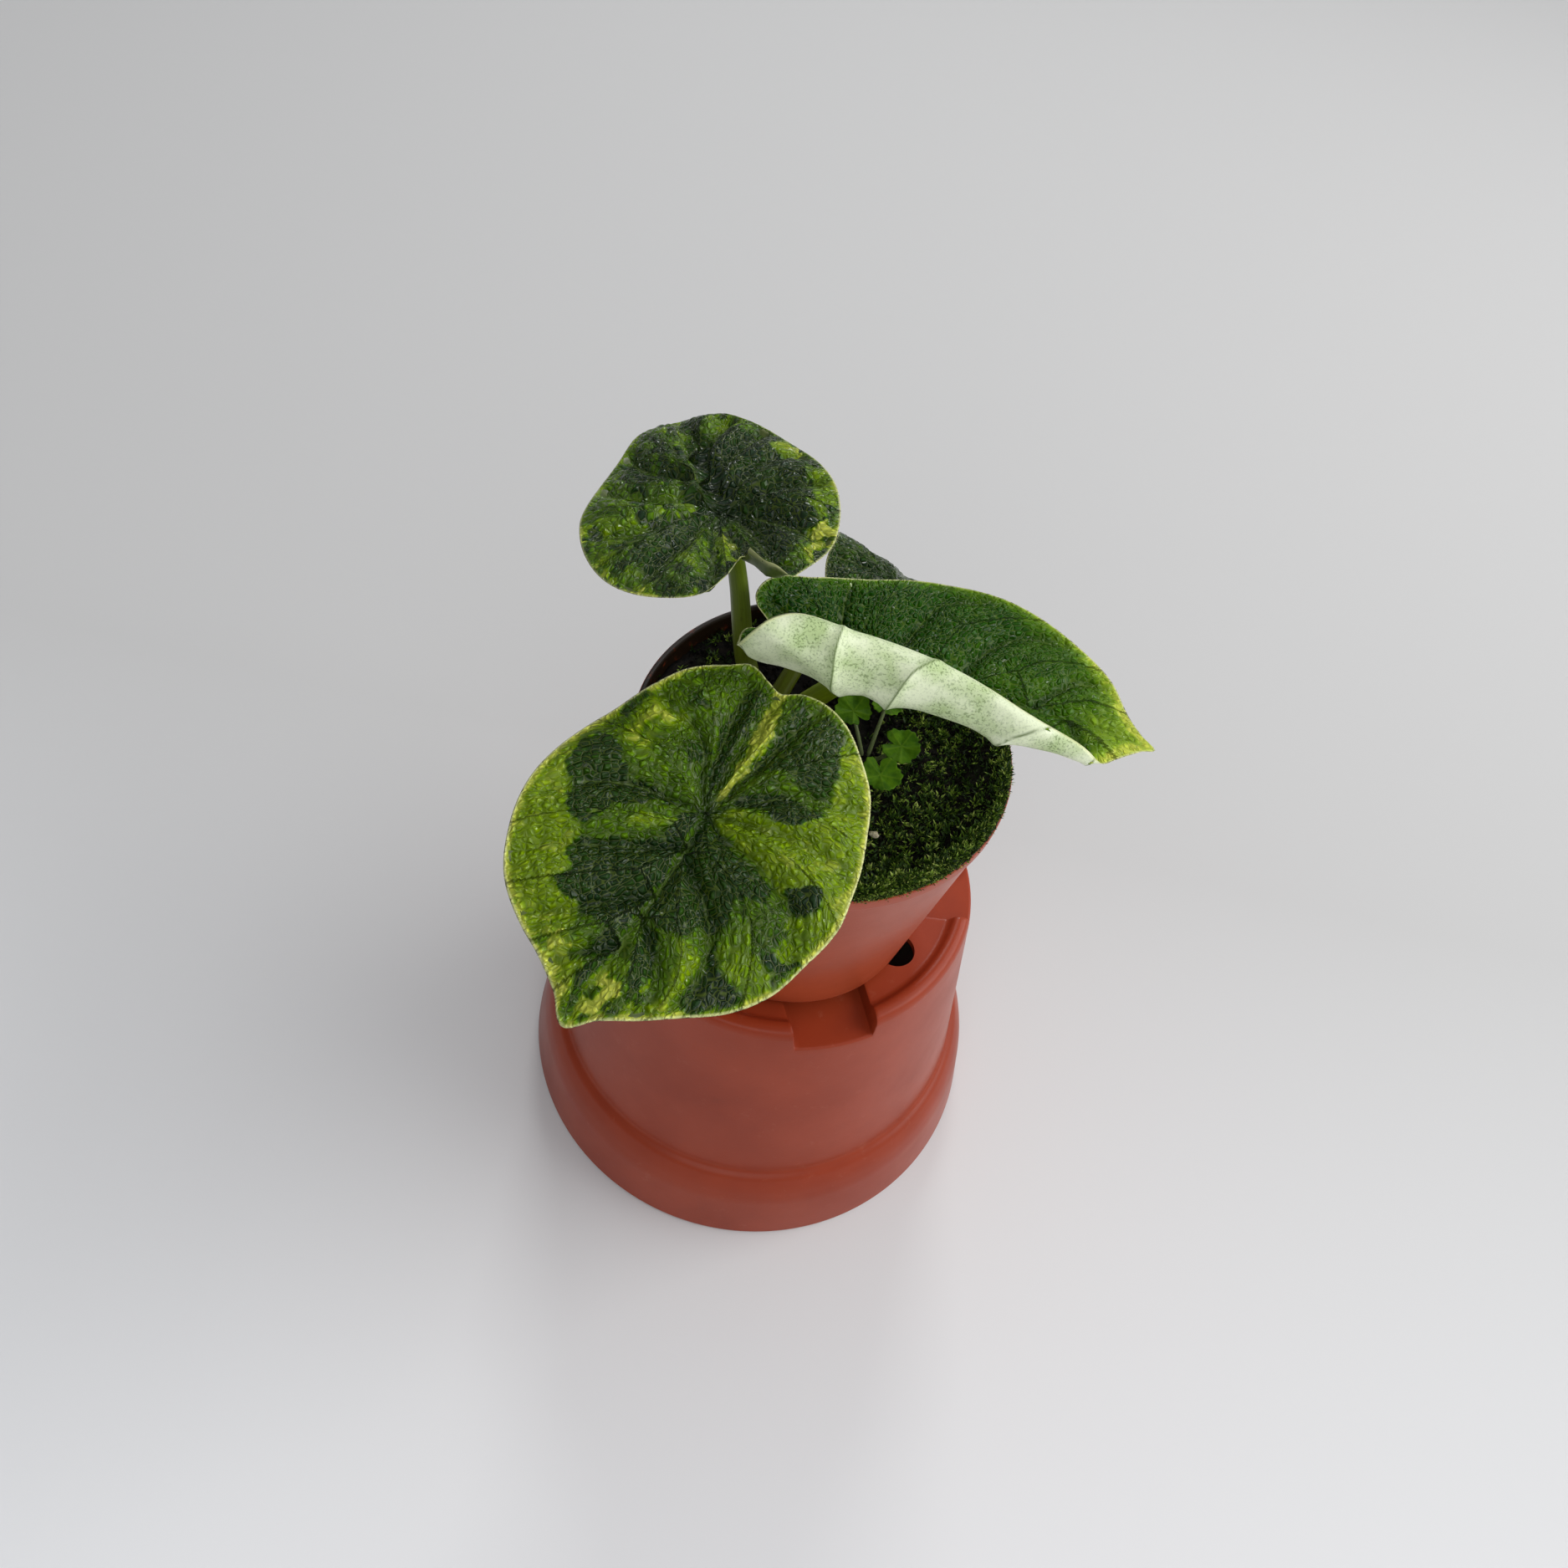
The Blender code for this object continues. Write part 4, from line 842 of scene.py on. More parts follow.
def drill(name, mesh, cutter, mat):
    """Cuts the drain holes into a pot and returns it as an object."""
    obj, helper = new_object(name, mesh, [mat]), new_object(cutter.name, cutter, [])
    mod = obj.modifiers.new("Holes", 'BOOLEAN')
    mod.operation, mod.solver, mod.object = 'DIFFERENCE', 'EXACT', helper
    bpy.context.view_layer.update()
    done = bpy.data.meshes.new_from_object(obj.evaluated_get(bpy.context.evaluated_depsgraph_get()))
    obj.modifiers.clear()
    obj.data = done
    done.name = name
    bpy.data.objects.remove(helper, do_unlink=True)
    done.shade_smooth()
    done.set_sharp_from_angle(angle=math.radians(38.0))
    return obj


def plastic(name, base, worn, dirt, seed):
    """Moulded terracotta-coloured plastic: slight clouding, fine grain, dusty scuffs, a little soil, and soil
    stain with painted shade where the mesh marks it.
    """
    n = Nodes(name)
    where = n.place()
    shifted = n.add("ShaderNodeVectorMath", operation='ADD')
    n.link(where, shifted.inputs[0])
    shifted.inputs[1].default_value = (seed, seed * 0.7, seed * 1.3)
    at = shifted.outputs[0]
    cloud = n.noise(at, 38.0, 4.0, 0.6)
    grain = n.noise(at, 1500.0, 2.0)
    scuff = n.noise(at, 210.0, 6.0, 0.75)
    color = n.mix(n.remap(cloud, 0.3, 0.7), base, worn)
    color = n.mix(n.remap(scuff, 0.6, 0.8, 0.0, 0.3), color, srgb(190, 120, 96))
    color = n.mix(n.remap(n.noise(at, 75.0, 5.0, 0.7), 0.68, 0.78, 0.0, dirt), color, srgb(52, 30, 20))
    # soil stain and painted shade: the marked inner wall and lip go dark brown in patches
    stain_and_shade_mask = n.math('MULTIPLY', n.attribute("stain_and_shade"), n.remap(n.noise(at, 420.0, 4.0, 0.7), 0.2, 0.42), True)
    color = n.mix(stain_and_shade_mask, color, srgb(34, 22, 12))
    return n.finish(Base_Color=color, Roughness=n.remap(cloud, 0.3, 0.7, 0.28, 0.38), Specular_IOR_Level=0.24,
                    Normal=n.bump(grain, 0.00003, 0.5))


STAND_PLASTIC = plastic("stand_plastic", srgb(158, 62, 33), srgb(142, 52, 26), 0.3, 0.0)
POT_PLASTIC = plastic("pot_plastic", srgb(168, 72, 42), srgb(154, 64, 36), 0.15, 0.31)

NOTCH_HALF, NOTCH_FROM_R, NOTCH_FIRST, NOTCHES = 9.25, 25.0, -65.0, 5
# columns of the mesh at a notch's wall, by their distance from it
WALL_STEPS = (-0.6, -0.35, -0.12, 0.12, 0.35, 0.6, 1.05, 1.3, 1.6, 1.9, 2.2)
# (radius, height) of the turned wall between the notches and, corner for corner, through a notch's middle
PLAIN = [(0.0, 83.2), (24.2, 83.2), (25.4, 83.2), (40.3, 83.2), (41.6, 84.7), (42.8, 85.0), (44.4, 84.6),
         (45.2, 83.2), (45.96, 77.2), (52.6, 24.5), (54.5, 23.4), (56.3, 20.2), (57.6, 16.0), (60.0, 0.7),
         (59.5, 0.0), (58.4, 0.0), (56.0, 15.9), (53.4, 20.6), (51.0, 24.9), (44.3, 80.2), (43.2, 81.6),
         (25.2, 81.6), (23.2, 81.6), (0.0, 81.6)]
THROUGH = [(0.0, 83.2), (24.2, 83.2), (25.4, 79.6), (40.3, 79.6), (41.6, 79.6), (42.8, 79.6), (44.2, 79.6),
           (45.66, 79.6), (45.96, 77.2), *PLAIN[9:19], (44.5, 78.6), (43.4, 78.0), (25.2, 78.0), (23.2, 81.6),
           (0.0, 81.6)]
CORNERS = {1: 0.6, 2: 0.6, 3: 0.9, 4: 0.7, 5: 0.8, 6: 0.9, 7: 1.3, 9: 1.6, 10: 1.4, 11: 2.2, 12: 1.6,
           13: 0.6, 14: 0.3, 15: 0.3, 16: 1.0, 17: 1.0, 18: 1.0, 19: 0.5, 20: 0.5}
UPSIDE_CORNERS = 15                                            # corners up to here are on the outside


def stand_mesh():
    """The upturned pot's wall with five notches let into its foot ring, as one closed grid of quads."""
    plain, through = (np.array(rounded(p, CORNERS, 5)) for p in (PLAIN, THROUGH))
    outer = len(rounded(PLAIN[:UPSIDE_CORNERS + 1], CORNERS, 5))
    outside = [i <= outer for i in range(len(plain))]
    half = [("in", f) for f in np.linspace(0, 1, 9)[:-1]] + [("wall", d) for d in WALL_STEPS] \
        + [("out", f) for f in np.linspace(0, 1, 16)[1:]]
    columns = [(kind, value, -1) for kind, value in half[::-1][:-1]]
    columns += [(kind, value, 1) for kind, value in half[:-1]]

    def lateral(kind, value, r):
        if kind == "in":
            return value * (NOTCH_HALF + WALL_STEPS[0])
        if kind == "wall":
            return NOTCH_HALF + value
        base = max(r, NOTCH_FROM_R)
        first = math.asin((NOTCH_HALF + WALL_STEPS[-1]) / base)
        return base * math.sin(first + value * (math.pi / NOTCHES - first))

    bm = bmesh.new()
    rings = []
    for i, (a, b) in enumerate(zip(plain, through)):
        if a[0] < POLE:
            rings.append([bm.verts.new(row(0, 0, a[1]))])
            continue
        ring = []
        for k in range(NOTCHES):
            middle = math.radians(NOTCH_FIRST + 360.0 * k / NOTCHES)
            for kind, value, way in columns:
                across = lateral(kind, value, a[0])
                edge = NOTCH_HALF if outside[i] else NOTCH_HALF + WALL_STEPS[8]
                part = float(1.0 - smoothstep(-0.42, 0.42, across - edge))
                r, z = a + (b - a) * part
                angle = middle + way * math.asin(min(1.0, across / max(a[0], NOTCH_FROM_R)))
                ring.append(bm.verts.new(row(r * math.cos(angle), r * math.sin(angle), z)))
        rings.append(ring)
    skin(bm, rings)
    return mesh_from(bm, "stand_grid")


stand = drill("upturned_pot", stand_mesh(), pins("drain_pins", NOTCH_FIRST + 36.0, 33.0, 4.4, 75.0, 91.0),
              STAND_PLASTIC)
take_place(stand, "stand_plastic", "stand_pot")

GROW_X, GROW_Y, GROW_RIM_Z = 1.9, -8.0, 142.0
GROW_INSIDE = [(28.1, 86.0), (36.75, 141.4)]                   # foot and top of the inner wall
grow_profile = rounded(
    [(0.0, 84.9), (27.0, 84.9), *GROW_INSIDE, (37.2, GROW_RIM_Z), (37.7, GROW_RIM_Z), (38.0, 141.6),
     (37.85, 138.8), (37.3, 138.2), (28.7, 84.7), (27.7, 83.5), (0.0, 83.5)],
    {1: 0.8, 2: 0.8, 3: 0.5, 4: 0.25, 5: 0.25, 6: 0.4, 7: 0.5, 8: 0.5, 9: 1.2, 10: 0.9}, 3)
grow = drill("nursery_pot", lathe("grow_lathe", grow_profile, 160, (GROW_X, GROW_Y)),
             pins("grow_pins", 20.0, 20.0, 3.0, 79.5, 89.0, (GROW_X, GROW_Y)), POT_PLASTIC)
grow_points = np.empty(len(grow.data.vertices) * 3)
grow.data.vertices.foreach_get("co", grow_points)
grow_points = (grow_points.reshape(-1, 3) - np.array(AXIS)) / MM
grow_reach = np.hypot(grow_points[:, 0] - GROW_X, grow_points[:, 1] - GROW_Y)
(low_r, low_z), (high_r, high_z) = GROW_INSIDE
grow_inner = low_r + (grow_points[:, 2] - low_z) * ((high_r - low_r) / (high_z - low_z))
grow_lip = (grow_points[:, 2] > GROW_RIM_Z - 0.3) & (grow_reach < 37.8)
# the inner wall and lip get the dark mark: soil stain there, with painted shade down the inner wall
put_attribute(grow.data, "stain_and_shade", (np.abs(grow_reach - grow_inner) < 0.35) | grow_lip)    # inner wall and lip
take_place(grow, "pot_plastic", "grow_pot")


# ================================================================ potting mix, moss and crumbs
def soil_height(x, y):
    tilt = 136.0 + 0.05 * (x - GROW_X) - 0.04 * (y - GROW_Y)
    bumps = 0.35 * np.sin(0.41 * x + 1.3) * np.cos(0.37 * y - 0.4) + 0.2 * np.sin(0.23 * x - 0.61 * y)
    near = np.exp(-((x + 10.0) ** 2 + (y + 7.0) ** 2) / 90.0)
    return tilt + bumps * (1.0 - near)


def bank(x, y):
    """How far the mix is heaped up towards the rim, over soil_height."""
    reach = np.hypot(x - GROW_X, y - GROW_Y)
    return 5.3 * smoothstep(27.5, 36.0, reach) * (0.8 + 0.35 * (fbm(x * 0.25, y * 0.25, 71) - 0.2))


def soil_material():
    n = Nodes("potting_mix")
    where = n.place()
    crumbs = n.noise(where, 900.0, 6.0, 0.75)
    color = n.mix(n.remap(crumbs, 0.45, 0.75), srgb(6, 5, 4), srgb(36, 27, 17))
    color = n.mix(n.remap(n.noise(where, 260.0, 4.0), 0.55, 0.72, 0.0, 0.5), color, srgb(30, 40, 12))
    return n.finish(Base_Color=color, Roughness=0.9, Specular_IOR_Level=0.2,
                    Normal=n.bump(crumbs, 0.0004, 0.8))


def build_soil():
    """A crumbly plug: its top follows soil_height with fine lumps, and loose crumbs lie all over it."""
    spokes, rings, top_r = 240, 64, 36.3
    phi = np.linspace(0, 2 * math.pi, spokes, endpoint=False)
    radii = np.linspace(0, 1, rings + 1)[1:] * top_r
    rr, pp = np.meshgrid(radii, phi, indexing='ij')
    x, y = GROW_X + rr * np.cos(pp), GROW_Y + rr * np.sin(pp)
    rough = 1.1 * (fbm(x * 0.9, y * 0.9, 5, 4) - 0.5) + 0.5 * (fbm(x * 2.6, y * 2.6, 15, 2) - 0.5)
    z = soil_height(x, y) + bank(x, y) + rough
    rows = [np.stack([x, y, z], -1).reshape(-1, 3)]
    centre = np.array([[GROW_X, GROW_Y, float(soil_height(GROW_X, GROW_Y))]])
    low = [(35.6, 134.0), (27.8, 87.0)]
    for r, height in low:
        rows.append(np.stack([GROW_X + r * np.cos(phi), GROW_Y + r * np.sin(phi),
                              np.full(spokes, height)], -1))
    points = np.vstack([centre] + rows)
    faces = disc_faces(rings + len(low), spokes, 0, False)
    faces.append(list(range(len(points) - spokes, len(points)))[::-1])
    rng = np.random.default_rng(17)
    verts, polys = [points], faces
    count = 2600
    a, r = rng.uniform(0, 2 * math.pi, count), np.sqrt(rng.uniform(0, 1, count)) * 35.2
    size = rng.uniform(0.2, 0.7, count)
    cx, cy = GROW_X + r * np.cos(a), GROW_Y + r * np.sin(a)
    cz = soil_height(cx, cy) + bank(cx, cy) + 0.25 * size + rng.uniform(-0.1, 0.4, count)
    start = len(points)
    octa = np.array([(1, 0, 0), (-1, 0, 0), (0, 1, 0), (0, -1, 0), (0, 0, 1), (0, 0, -1)], float)
    octa_faces = [(0, 2, 4), (2, 1, 4), (1, 3, 4), (3, 0, 4), (2, 0, 5), (1, 2, 5), (3, 1, 5), (0, 3, 5)]
    for i in range(count):
        turn = np.linalg.qr(rng.normal(size=(3, 3)))[0]
        if np.linalg.det(turn) < 0:
            turn[0] *= -1
        shape = octa * rng.uniform(0.6, 1.3, (6, 1)) * size[i] @ turn.T
        verts.append(shape + (cx[i], cy[i], cz[i]))
        polys += [(p + start, q + start, t + start) for p, q, t in octa_faces]
        start += 6
    mesh = mesh_mm("soil", np.vstack(verts), polys)
    take_place(new_object("soil", mesh, [soil_material()]), "soil", "potting_mix")


build_soil()


def moss_material():
    n = Nodes("moss_tufts")
    color = n.ramp(n.attribute("shade"), [(0.0, srgb(18, 34, 6)), (0.4, srgb(52, 82, 12)),
                                          (0.7, srgb(112, 142, 36)), (0.9, srgb(176, 190, 96)),
                                          (1.0, srgb(232, 226, 170))])
    return n.finish(Base_Color=color, Roughness=0.6, Specular_IOR_Level=0.3)


MOSS_MAT = moss_material()


def moss(name, node, spots, seed):
    """Pointed leaflets in tufts; a spot is (angle, ring radius, spread along, across, tufts, cream part)."""
    rng = np.random.default_rng(seed)
    verts, shade = [], []
    for az_deg, ring_r, along, across, tufts, cream in spots:
        az = math.radians(az_deg)
        w, u = rng.normal(0, along * 0.5, tufts), rng.normal(0, across * 0.5, tufts)
        x = ring_r * math.cos(az) + u * math.cos(az) - w * math.sin(az)
        y = ring_r * math.sin(az) + u * math.sin(az) + w * math.cos(az)
        on_rim = ring_r > 36.5
        most = (ring_r if on_rim else np.minimum(36.4, np.hypot(x, y))) / np.hypot(x, y)
        x, y = x * most + GROW_X, y * most + GROW_Y
        ground = GROW_RIM_Z - 0.1 if on_rim else soil_height(x, y) + bank(x, y)
        z = ground + rng.uniform(-0.2, 0.1 if on_rim else 0.5, tufts)
        base = np.repeat(np.stack([x, y, z], -1), 10, axis=0)
        tone = rng.uniform(0.0, 1.0, tufts)
        tone = np.repeat(np.where(tone < 0.62, tone * 0.5, 0.4 + (tone - 0.62) * 1.25), 10)
        count = len(base)
        way = rng.normal(size=(count, 3))
        way[:, 2] = np.abs(way[:, 2]) * 0.9 + 0.25
        way /= np.linalg.norm(way, axis=1, keepdims=True)
        length = rng.uniform(0.6, 1.7, count)[:, None] * (0.5 if on_rim else 1.0)
        side = np.cross(way, rng.normal(size=(count, 3)))
        side *= 0.15 * length / np.linalg.norm(side, axis=1, keepdims=True)
        root = base + rng.normal(0, 0.28, (count, 3))
        verts.append(np.stack([root - side * 0.4, root + way * length * 0.45 - side, root + way * length,
                               root + way * length * 0.45 + side], 1).reshape(-1, 3))
        tip = np.where(rng.uniform(size=count) < cream, 1.0,
                       np.minimum(0.95, tone + rng.uniform(0.05, 0.4, count)))
        shade.append(np.stack([np.maximum(0.0, tone - 0.3), tone, tip, tone], 1).ravel())
    verts = np.vstack(verts)
    mesh = mesh_mm(name, verts, np.arange(len(verts)).reshape(-1, 4).tolist(), smooth=False)
    put_attribute(mesh, "shade", np.concatenate(shade))
    take_place(new_object(name, mesh, [MOSS_MAT]), "moss", node)


moss("front_moss", "moss_front", [(-75, 30, 20, 9, 260, 0.03), (-66, 35.6, 18, 1.4, 260, 0.2),
                                 (-66, 37.4, 20, 0.5, 380, 0.45)], 61)
moss("front_right_moss", "moss_front_right", [(-38, 27, 26, 15, 520, 0.02), (-38, 35.6, 24, 1.6, 280, 0.05),
                                             (-34, 37.3, 22, 0.4, 260, 0.06)], 62)
moss("right_moss", "moss_right", [(2, 26, 24, 16, 420, 0.02), (0, 35.6, 22, 1.6, 200, 0.01)], 63)
moss("back_right_moss", "moss_back_right", [(40, 27, 20, 10, 240, 0.01)], 64)
moss("back_left_moss", "moss_back_left", [(135, 31, 12, 5, 70, 0.01)], 65)


def grit_material():
    n = Nodes("perlite")
    where = n.place()
    pores = n.noise(where, 2600.0, 3.0)
    color = n.mix(n.remap(pores, 0.4, 0.65), srgb(214, 205, 176), srgb(160, 148, 112))
    return n.finish(Base_Color=color, Roughness=0.85, Normal=n.bump(pores, 0.0001, 0.7))


GRIT_MAT = grit_material()
for number in range(1, 7):
    node = "perlite_%d" % number
    low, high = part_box(node)
    bm = bmesh.new()
    bmesh.ops.create_icosphere(bm, subdivisions=3, radius=1.0)
    for v in bm.verts:
        c = np.array(v.co)
        bumps = float(fbm(np.array(c[0] * 1.4 + number * 3.1), np.array(c[1] * 1.4 + c[2]), 33))
        lump = 1.0 + 0.34 * (bumps - 0.5) * 2
        v.co *= lump
        v.co = (low + high) / 2 + Vector((v.co.x * (high.x - low.x), v.co.y * (high.y - low.y),
                                          v.co.z * (high.z - low.z))) * 0.46
    mesh = mesh_from(bm, "crumb_%d" % number)
    mesh.shade_smooth()
    take_place(new_object("crumb_%d" % number, mesh, [GRIT_MAT]), "perlite", node)


# ================================================================ stalks, crown and seedling
def tube(name, keys, radii, mats, slot, node, sides=28, per_span=14, groove=0.0):
    """A tapering stalk through the keys (mm about the stand's axis), with a rounded cap at each end."""
    line = catmull(keys, per_span)
    step = np.gradient(line, axis=0)
    step /= np.linalg.norm(step, axis=1, keepdims=True)
    length = np.concatenate([[0], np.cumsum(np.linalg.norm(np.diff(line, axis=0), axis=1))])
    part = length / length[-1]
    radius = np.interp(part, *zip(*radii))
    side = np.cross(step[0], (0.31, 0.17, 0.94))
    side /= np.linalg.norm(side)
    verts = [line[0] - step[0] * radius[0] * 0.3]
    around = np.linspace(0, 2 * math.pi, sides, endpoint=False)
    for i, p in enumerate(line):
        side = side - step[i] * (side @ step[i])
        side /= np.linalg.norm(side)
        other = np.cross(step[i], side)
        cap = 0.7 if i in (0, len(line) - 1) else 1.0
        ribs = 1.0 + 0.022 * np.sin(9 * around + 0.4) - groove * np.exp(-((around - 1.6) / 0.5) ** 2)
        ring = radius[i] * cap * ribs
        verts += list(p + np.outer(ring * np.cos(around), side) + np.outer(ring * np.sin(around), other))
    verts.append(line[-1] + step[-1] * radius[-1] * 0.3)
    faces = [(0, 1 + (j + 1) % sides, 1 + j) for j in range(sides)]
    for i in range(len(line) - 1):
        a, b = 1 + i * sides, 1 + (i + 1) * sides
        faces += [(a + j, a + (j + 1) % sides, b + (j + 1) % sides, b + j) for j in range(sides)]
    last, end = 1 + (len(line) - 1) * sides, len(verts) - 1
    faces += [(last + j, last + (j + 1) % sides, end) for j in range(sides)]
    mesh = mesh_mm(name, verts, faces)
    put_attribute(mesh, "part", np.concatenate([[0], np.repeat(part, sides), [1]]))
    put_attribute(mesh, "around", np.concatenate([[0], np.tile(around, len(line)), [0]]))
    take_place(new_object(name, mesh, mats), slot, node)


def stalk_material(name, base, upper, streak):
    n = Nodes(name)
    where = n.place()
    part = n.attribute("part")
    color = n.mix(n.remap(part, 0.1, 0.95), base, upper)
    lines = n.add("ShaderNodeCombineXYZ")
    n.link(n.math('MULTIPLY', n.attribute("around"), 3.2), lines.inputs["X"])
    n.link(n.math('MULTIPLY', part, 2.2), lines.inputs["Y"])
    fibre = n.noise(lines.outputs[0], 2.2, 5.0, 0.7)
    color = n.mix(n.remap(fibre, 0.42, 0.7, 0.0, 0.55), color, streak)
    spots = n.noise(where, 900.0, 3.0)
    color = n.mix(n.remap(spots, 0.62, 0.74, 0.0, 0.35), color, srgb(54, 52, 16))
    return n.finish(Base_Color=color, Roughness=0.38, Specular_IOR_Level=0.25,
                    Normal=n.bump(fibre, 0.00008, 0.6))


OLIVE_STALK = stalk_material("petiole", srgb(84, 90, 14), srgb(76, 98, 8), srgb(102, 122, 26))
YOUNG_STALK = stalk_material("petiole_young", srgb(112, 122, 20), srgb(122, 150, 20), srgb(146, 166, 40))
CROWN_AT = (-10.0, -7.0, 137.8)


def from_crown(direction, reach):
    """A point inside the crown, where a petiole starts."""
    return tuple(Vector(CROWN_AT) + Vector(direction).normalized() * reach)


def under_hub(place, drop):
    """The last two points of a stalk, coming up square to the underside of a leaf."""
    hub, axes = leaf_axes(*place)
    return [tuple(hub - axes[2] * (drop + 3.0)), tuple(hub - axes[2] * drop)]


tube("front_petiole", [from_crown((-0.05, -0.72, 0.69), 5.0), (-10.8, -17.5, 147.0), (-12.8, -32.0, 154.0),
                       (-14.0, -43.5, 157.6)] + under_hub(FRONT_PLACE, 1.9),
     [(0, 2.5), (0.15, 2.1), (1, 1.6)], [OLIVE_STALK], "petiole", "petiole_front", groove=0.08)
tube("back_petiole", [from_crown((-0.42, 0.38, 0.82), 5.0), (-16.2, -0.2, 149.5), (-17.9, 0.5, 157.0),
                      (-19.8, 1.0, 168.6), (-21.6, 0.7, 177.0)] + under_hub(BACK_PLACE, 2.7),
     [(0, 2.5), (0.2, 2.1), (1, 1.5)], [OLIVE_STALK], "petiole", "petiole_back", groove=0.08)
tube("right_petiole", [from_crown((0.62, 0.2, 0.76), 5.0), (-2.4, -3.8, 147.0), (1.2, -5.0, 153.5),
                       (3.2, -8.0, 159.0)] + under_hub(RIGHT_PLACE, 1.2),
     [(0, 2.6), (0.3, 2.2), (1, 1.7)], [YOUNG_STALK], "petiole", "petiole_right", groove=0.05)
tube("rear_petiole", [from_crown((-0.02, 0.88, 0.48), 5.0), (-6.0, 8.0, 145.5), (0.5, 19.0, 149.0)]
     + under_hub(REAR_PLACE, 1.7), [(0, 2.0), (0.3, 1.7), (1, 1.3)], [OLIVE_STALK], "petiole", "petiole_rear")


def build_crown():
    """The corm's top, wrapped in the papery ends of old sheaths."""
    bm = bmesh.new()
    bmesh.ops.create_icosphere(bm, subdivisions=5, radius=1.0)
    for v in bm.verts:
        a = math.atan2(v.co.y, v.co.x)
        wrap = 0.07 * abs(math.sin(2.5 * a + 3.0 * v.co.z)) + 0.03 * math.sin(11 * a + 5 * v.co.z)
        r = 6.1 * (1.0 - 0.12 * max(0.0, v.co.z) + wrap)
        v.co = row(CROWN_AT[0] + r * v.co.x, CROWN_AT[1] + r * v.co.y, CROWN_AT[2] + 6.0 * v.co.z)
    mesh = mesh_from(bm, "crown_top")
    mesh.shade_smooth()
    n = Nodes("sheaths")
    where = n.place()
    papery = n.noise(where, 420.0, 5.0, 0.7)
    color = n.mix(n.remap(papery, 0.35, 0.65), srgb(96, 84, 40), srgb(58, 44, 22))
    sheaths = n.finish(Base_Color=color, Roughness=0.6, Normal=n.bump(papery, 0.0003, 0.6))
    take_place(new_object("crown_top", mesh, [sheaths]), "crown", "crown")


build_crown()


def seedling_material():
    n = Nodes("seedling")
    where = n.place()
    cloud = n.noise(where, 500.0, 3.0)
    color = n.mix(n.remap(cloud, 0.35, 0.65), srgb(58, 98, 4), srgb(88, 130, 12))
    color = n.mix(n.math('MULTIPLY', n.attribute("vein"), 0.3, True), color, srgb(124, 160, 40))
    return n.finish(Base_Color=color, Roughness=0.6, Specular_IOR_Level=0.12,
                    Normal=n.bump(cloud, 0.0003, 0.8))


WEED = seedling_material()
WEED_STALK = stalk_material("seedling_stalk", srgb(104, 118, 70), srgb(120, 136, 84), srgb(150, 160, 116))
SEEDLING_BASE = Vector((11.0, -7.0, 0.0))
SEEDLING_LEAVES = [("a", (17.0, -8.0, 144.5), (1.0, -0.2, 0.1), (0.1, -0.3, 1.0), 3.7),
                   ("b", (14.0, -15.6, 143.8), (0.3, -1.0, -0.1), (0.1, -0.1, 1.0), 3.9),
                   ("c", (6.4, -1.8, 144.6), (-0.7, 0.7, 0.1), (-0.1, -0.2, 1.0), 3.6),
                   ("d", (12.6, 0.6, 146.4), (0.2, 1.0, 0.2), (0.0, -0.3, 1.0), 3.2)]


def seedling_leaf(tag, place, radius):
    """A soft round leaf with five toothed lobes, cupped a little, on a thread-like stalk."""
    hub, axes = leaf_axes(*place)
    spokes, rings = 120, 12
    phi = np.linspace(0, 2 * math.pi, spokes, endpoint=False)
    turn = radius * 7.0
    lobed = 5 * phi + 0.5 * np.sin(2 * phi + turn)
    teeth = 1.0 + 0.16 * np.abs(np.cos(lobed / 2)) ** 0.7
    teeth = teeth + 0.04 * np.cos(16 * phi + turn) + 0.05 * np.cos(phi + 2 * turn)
    teeth *= 0.9 - 0.5 * np.exp(-((phi - math.pi) / 0.16) ** 2)
    t, pp = np.meshgrid(np.arange(1, rings + 1) / rings, phi, indexing='ij')
    r = t * radius * teeth
    lobe = np.cos(5 * pp)
    z = 0.55 * t * t + 0.3 * t * lobe + 0.3 * np.sin(3 * pp + turn) * t ** 2
    top = np.vstack([[[0, 0, 0]], np.stack([r * np.cos(pp), r * np.sin(pp), z], -1).reshape(-1, 3)])
    thick = np.concatenate([[0.32], (0.32 - 0.2 * t ** 3).ravel()])
    bottom = top - np.array([0, 0, 1.0]) * thick[:, None]
    faces = disc_faces(rings, spokes, 0, False) + disc_faces(rings, spokes, len(top), True)
    edge = 1 + (rings - 1) * spokes
    for j in range(spokes):
        k = (j + 1) % spokes
        faces.append((edge + k, edge + j, len(top) + edge + j, len(top) + edge + k))
    mesh = bpy.data.meshes.new("weed_leaf_" + tag)
    mesh.from_pydata(to_row(np.vstack([top, bottom]), hub, axes).tolist(), [], faces)
    mesh.shade_smooth()
    from_lobe = np.abs(np.angle(np.exp(5j * pp))) / 5
    vein = np.concatenate([[1.0], np.exp(-(from_lobe * r / 0.16) ** 2).ravel()])
    put_attribute(mesh, "vein", np.concatenate([vein, vein]))
    take_place(new_object("weed_leaf_" + tag, mesh, [WEED]), "seedling", "seedling_leaf_" + tag)


for tag, hub, toward, facing, radius in SEEDLING_LEAVES:
    place = (hub, toward, facing)
    seedling_leaf(tag, place, radius)
    outward = (Vector((hub[0], hub[1], 0.0)) - SEEDLING_BASE).normalized()
    foot = SEEDLING_BASE + outward * 1.3
    foot.z = float(soil_height(foot.x, foot.y)) + 0.2
    bend, end = under_hub(place, 0.45)
    bend = Vector(end) + (Vector(bend) - Vector(end)) * 0.4
    tube("weed_stalk_" + tag, [tuple(foot), tuple((foot + bend) / 2 + Vector((0, 0, 0.4))), tuple(bend), end],
         [(0, 0.45), (1, 0.34)], [WEED_STALK], "seedling", "seedling_stalk_" + tag, sides=12, per_span=8)


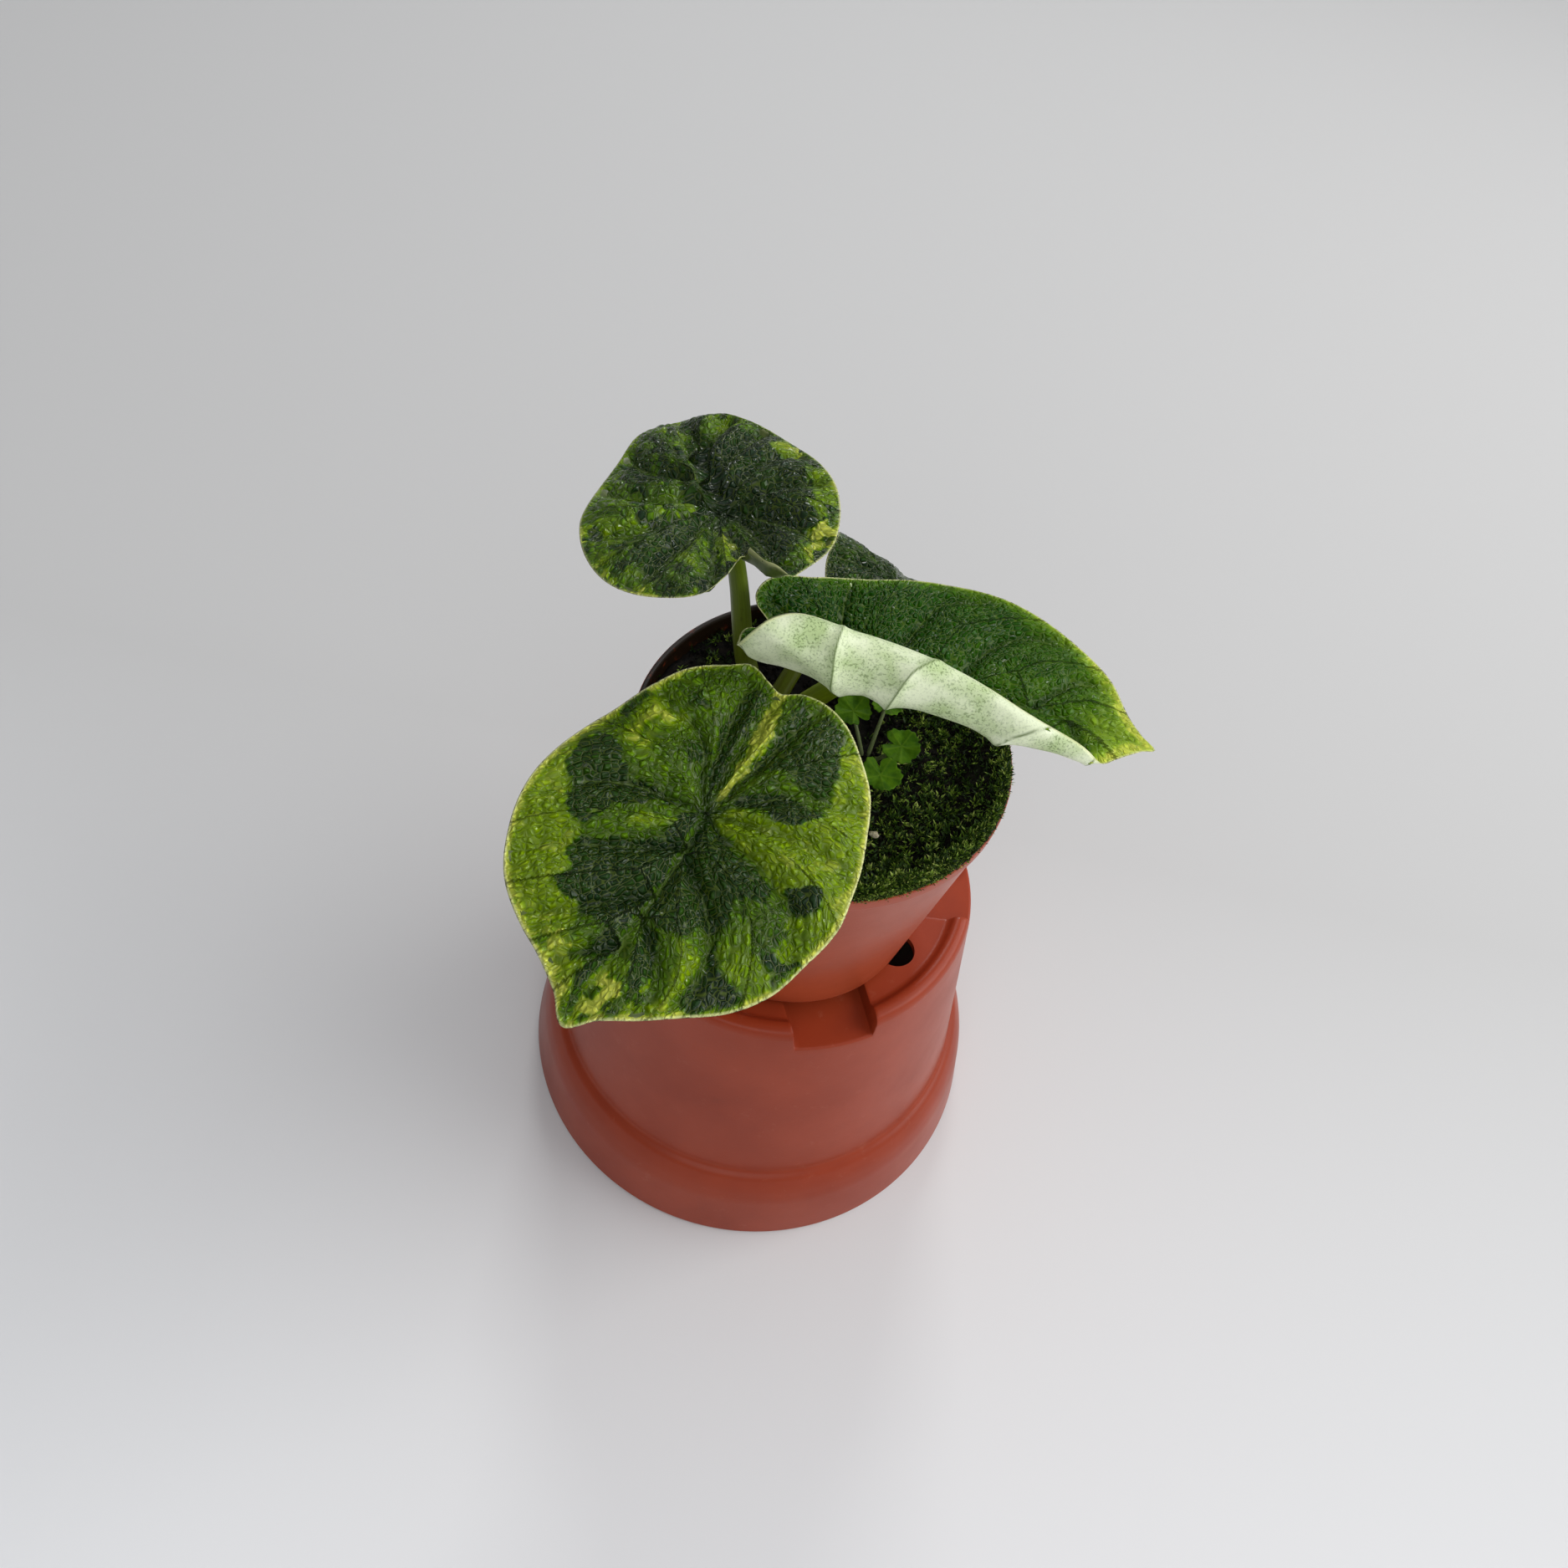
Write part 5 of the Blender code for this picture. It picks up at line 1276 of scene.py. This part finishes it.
# ================================================================ stage, light and camera
def area(name, place, aim, size, power, color):
    """A rectangular lamp at place that shines towards aim."""
    light = bpy.data.lights.new(name, 'AREA')
    light.shape = 'RECTANGLE'
    light.size, light.size_y = size
    light.energy = power
    light.color = color
    obj = bpy.data.objects.new(name, light)
    bpy.context.scene.collection.objects.link(obj)
    obj.location = place
    obj.rotation_euler = (Vector(aim) - Vector(place)).to_track_quat('-Z', 'Y').to_euler()


FLOOR_HALF = 4.0


def floor():
    """A pale floor with painted light: its colour gets lighter towards the camera, lifting the shadows there.
    """
    bm = bmesh.new()
    bmesh.ops.create_grid(bm, x_segments=1, y_segments=1, size=FLOOR_HALF)
    mesh = mesh_from(bm, "floor")
    n = Nodes("floor_pale")
    where = n.place()
    split = n.add("ShaderNodeSeparateXYZ")
    n.link(where, split.inputs[0])
    # painted light: lighter towards the front
    painted_light_front = n.remap(split.outputs["Y"], 0.10, -0.16)
    pale = n.finish(Base_Color=n.mix(painted_light_front, srgb(206, 206, 205), srgb(242, 243, 244)), Roughness=0.9)
    new_object("floor", mesh, [pale])


floor()
world = bpy.data.worlds.new("studio")
bpy.context.scene.world = world
world.use_nodes = True
background = world.node_tree.nodes["Background"]
background.inputs["Color"].default_value = (0.95, 0.96, 1.0, 1.0)
world_way = world.node_tree.nodes.new("ShaderNodeSeparateXYZ")
world_light = world.node_tree.nodes.new("ShaderNodeMapRange")
world_light.inputs["From Min"].default_value = -1.0
world_light.inputs["To Min"].default_value = 0.16
world_light.inputs["To Max"].default_value = 0.68
world_place = world.node_tree.nodes.new("ShaderNodeTexCoord")
world.node_tree.links.new(world_place.outputs["Generated"], world_way.inputs[0])
world.node_tree.links.new(world_way.outputs["X"], world_light.inputs["Value"])
world.node_tree.links.new(world_light.outputs[0], background.inputs["Strength"])
area("window", (1.05, 0.25, 0.85), (0, 0, 0.1), (1.2, 1.0), 10.5, (1.0, 0.99, 0.98))
area("glint", (-0.1, 1.0, 1.0), (0, 0, 0.12), (0.3, 0.2), 3.4, (1.0, 1.0, 1.0))
area("fill", (0.1, -1.0, 1.1), (0, -0.15, 0.0), (1.0, 0.8), 3.6, (0.98, 0.99, 1.0))
bpy.context.scene.view_settings.view_transform = 'Standard'

CAMERA_LENS, SENSOR, CLIP_START = 29.70, 36.0, 0.01
CAMERA_PLACE = Vector((0.0, -0.17187, 0.33824))                # from the stand pot's axis
CAMERA_RIGHT = Vector((0.97555, 0.18301, 0.12170))
CAMERA_UP = Vector((-0.21926, 0.77243, 0.59605))
camera = bpy.data.cameras.new("camera")
camera.sensor_width, camera.lens, camera.clip_start = SENSOR, CAMERA_LENS, CLIP_START
camera_obj = bpy.data.objects.new("camera", camera)
bpy.context.scene.collection.objects.link(camera_obj)
look = Matrix((CAMERA_RIGHT, CAMERA_UP, CAMERA_RIGHT.cross(CAMERA_UP))).transposed().to_4x4()
camera_obj.matrix_world = Matrix.Translation(CAMERA_PLACE + AXIS) @ look
bpy.context.scene.camera = camera_obj
